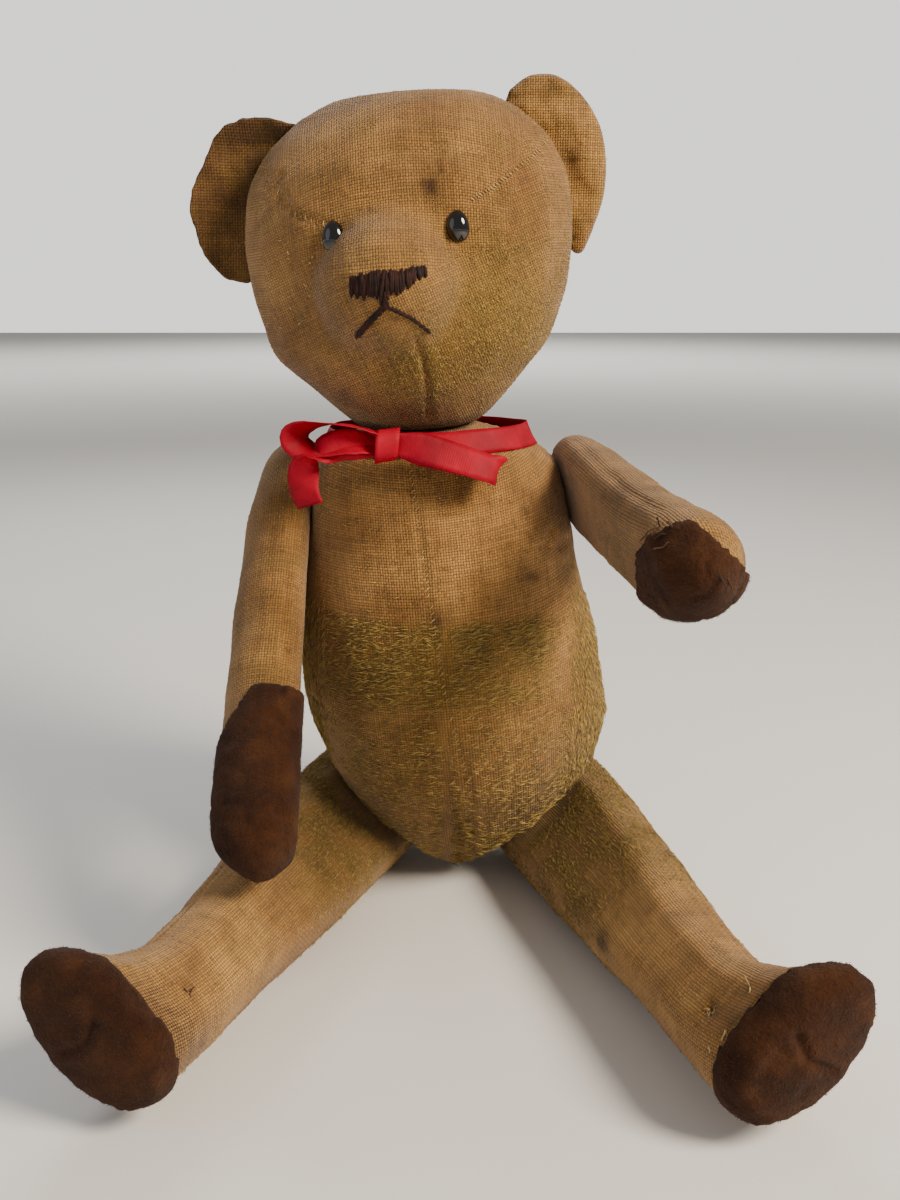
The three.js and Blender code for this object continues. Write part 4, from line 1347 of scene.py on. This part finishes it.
# Loose threads and tufts
def looseThreads(surface, starts, length, droop, seed):
    source = np.random.default_rng(seed)
    routes = []
    for start in starts:
        spot = laidOn(surface, [start])[0]
        away = (viewpoint - spot).normalized()
        way = Vector(source.normal(0, 1, 3))
        way = (way - away * way.dot(away)).normalized()
        size = length * source.uniform(0.5, 1.2)
        route = [spot - away * 0.4 * mm]
        for t in (0.25, 0.5, 0.75, 1.0):
            bend = Vector(source.normal(0, 0.12, 3)) * size
            arch = away * (0.9 * mm * math.sin(math.pi * t))
            route.append(spot + way * size * t + arch - up * droop * t * t + bend * t)
        routes.append(curveThrough(route, 0.8 * mm))
    return routes


tears = [at(61 + 2.0 * i, -190, 194 - 1.4 * i) for i in range(11)] * 2
threads = looseThreads(limbSurfaces["arm_left"], tears, 7 * mm, 2.5 * mm, 71)
threadObject("arm_left_torn_threads", threads, 0.24 * mm, "darkThread", "arm_left", "worn_cloth")
loop = [at(-97, -100, 66), at(-100.5, -100, 60), at(-101.5, -100, 53), at(-98.5, -100, 46)]
loop = [p + Vector((-0.6, -1.2, 0)) * mm for p in laidOn(limbSurfaces["arm_right"], loop)]
loop = curveThrough(loop, 1.0 * mm)
threadObject("arm_right_thread_loop", [loop], 0.28 * mm, "darkThread", "arm_right", "worn_cloth")
tufts = ((94.7, 2.1), (96, 3), (93.5, 1.5), (112, 22), (109, 12), (101, -6), (95, -13))
tufts = [at(x, -150, z) for x, z in tufts] * 2
threads = looseThreads(limbSurfaces["leg_left"], tufts, 3.4 * mm, 0.3 * mm, 72)
threadObject("leg_left_tufts", threads, 0.26 * mm, "paleThread", "leg_left", "worn_cloth")
tufts = [at(-92, -190, 37), at(-90, -190, 35)] * 2
threads = looseThreads(limbSurfaces["leg_right"], tufts, 4 * mm, 0.4 * mm, 73)
threadObject("leg_right_tufts", threads, 0.22 * mm, "darkThread", "leg_right", "worn_cloth")
tufts = [at(-76 + 26 * rng.random(), -70, 245 + 38 * rng.random()) for _ in range(26)]
threads = looseThreads(headSurface, tufts, 1.6 * mm, 0.0, 74)
threadObject("head_tufts", threads, 0.2 * mm, "paleThread", "head", "worn_cloth")
print("threads done")


# Floor, light and camera
bpy.ops.object.select_all(action="DESELECT")
bpy.ops.mesh.primitive_plane_add(size=14, location=(0, 0, 0))
floor = bpy.context.object
floor.name = "floor"
material, tree = newMaterial("palePaper")
where = addNode(tree, "TexCoord", out="Object")
grain = addNode(tree, "TexNoise", {"Vector": where, "Scale": 300.0, "Detail": 3.0})
normal = addNode(tree, "Bump", {"Height": grain, "Distance": 0.1 * mm, "Strength": 0.2})
closeMaterial(tree, {
    "Base Color": "#efede9", "Normal": normal, "Roughness": 0.9, "Specular IOR Level": 0.2,
})
floor.data.materials.append(material)


def softLight(name, place, aim, size, watts, colour, spread=180):
    data = bpy.data.lights.new(name, "AREA")
    data.shape = "DISK"
    data.size = size
    data.spread = math.radians(spread)
    data.energy = watts
    data.color = linearColour(colour)[:3]
    lamp = bpy.data.objects.new(name, data)
    lamp.location = place
    lamp.rotation_euler = (Vector(aim) - Vector(place)).to_track_quat("-Z", "Y").to_euler()
    bpy.context.collection.objects.link(lamp)


softLight("key", (0.9, -0.6, 0.95), (0, -0.03, 0.15), 0.5, 29.0, "#fff1dc")
softLight("fill", (-0.9, -0.6, 0.6), (0, 0, 0.15), 0.9, 1.6, "#eef3ff")
softLight("back", (-0.3, 1.0, 1.0), (0, 0, 0.2), 0.7, 7.0, "#ffffff")
# a ring of washes keeps the far floor as pale as the near floor; their narrow spread misses the bear
for number in range(8):
    angle = math.radians(45 * number)
    over = Vector((4.3 * math.sin(angle), 4.3 * math.cos(angle), 3.0))
    softLight(f"wash_{number}", over, over * Vector((1, 1, 0)), 2.4, 30.0, "#fffdf8", 84)
world = bpy.data.worlds.new("studio")
world.use_nodes = True
tree = world.node_tree
background = tree.nodes["Background"]
background.inputs["Color"].default_value = linearColour("#f4f2ef")
# the far wall is seen pale, while its light on the bear stays low
seen = addNode(tree, "LightPath", out="Is Camera Ray")
tree.links.new(addNode(tree, "MapRange", {0: seen, 3: 0.36, 4: 1.5}), background.inputs["Strength"])
bpy.context.scene.world = world

cameraData = bpy.data.cameras.new("camera")
cameraData.lens = 36.27
cameraData.clip_start = 0.01
camera = bpy.data.objects.new("camera", cameraData)
camera.location = viewpoint
camera.rotation_euler = (math.radians(75.5), 0, 0)
bpy.context.collection.objects.link(camera)
bpy.context.scene.camera = camera
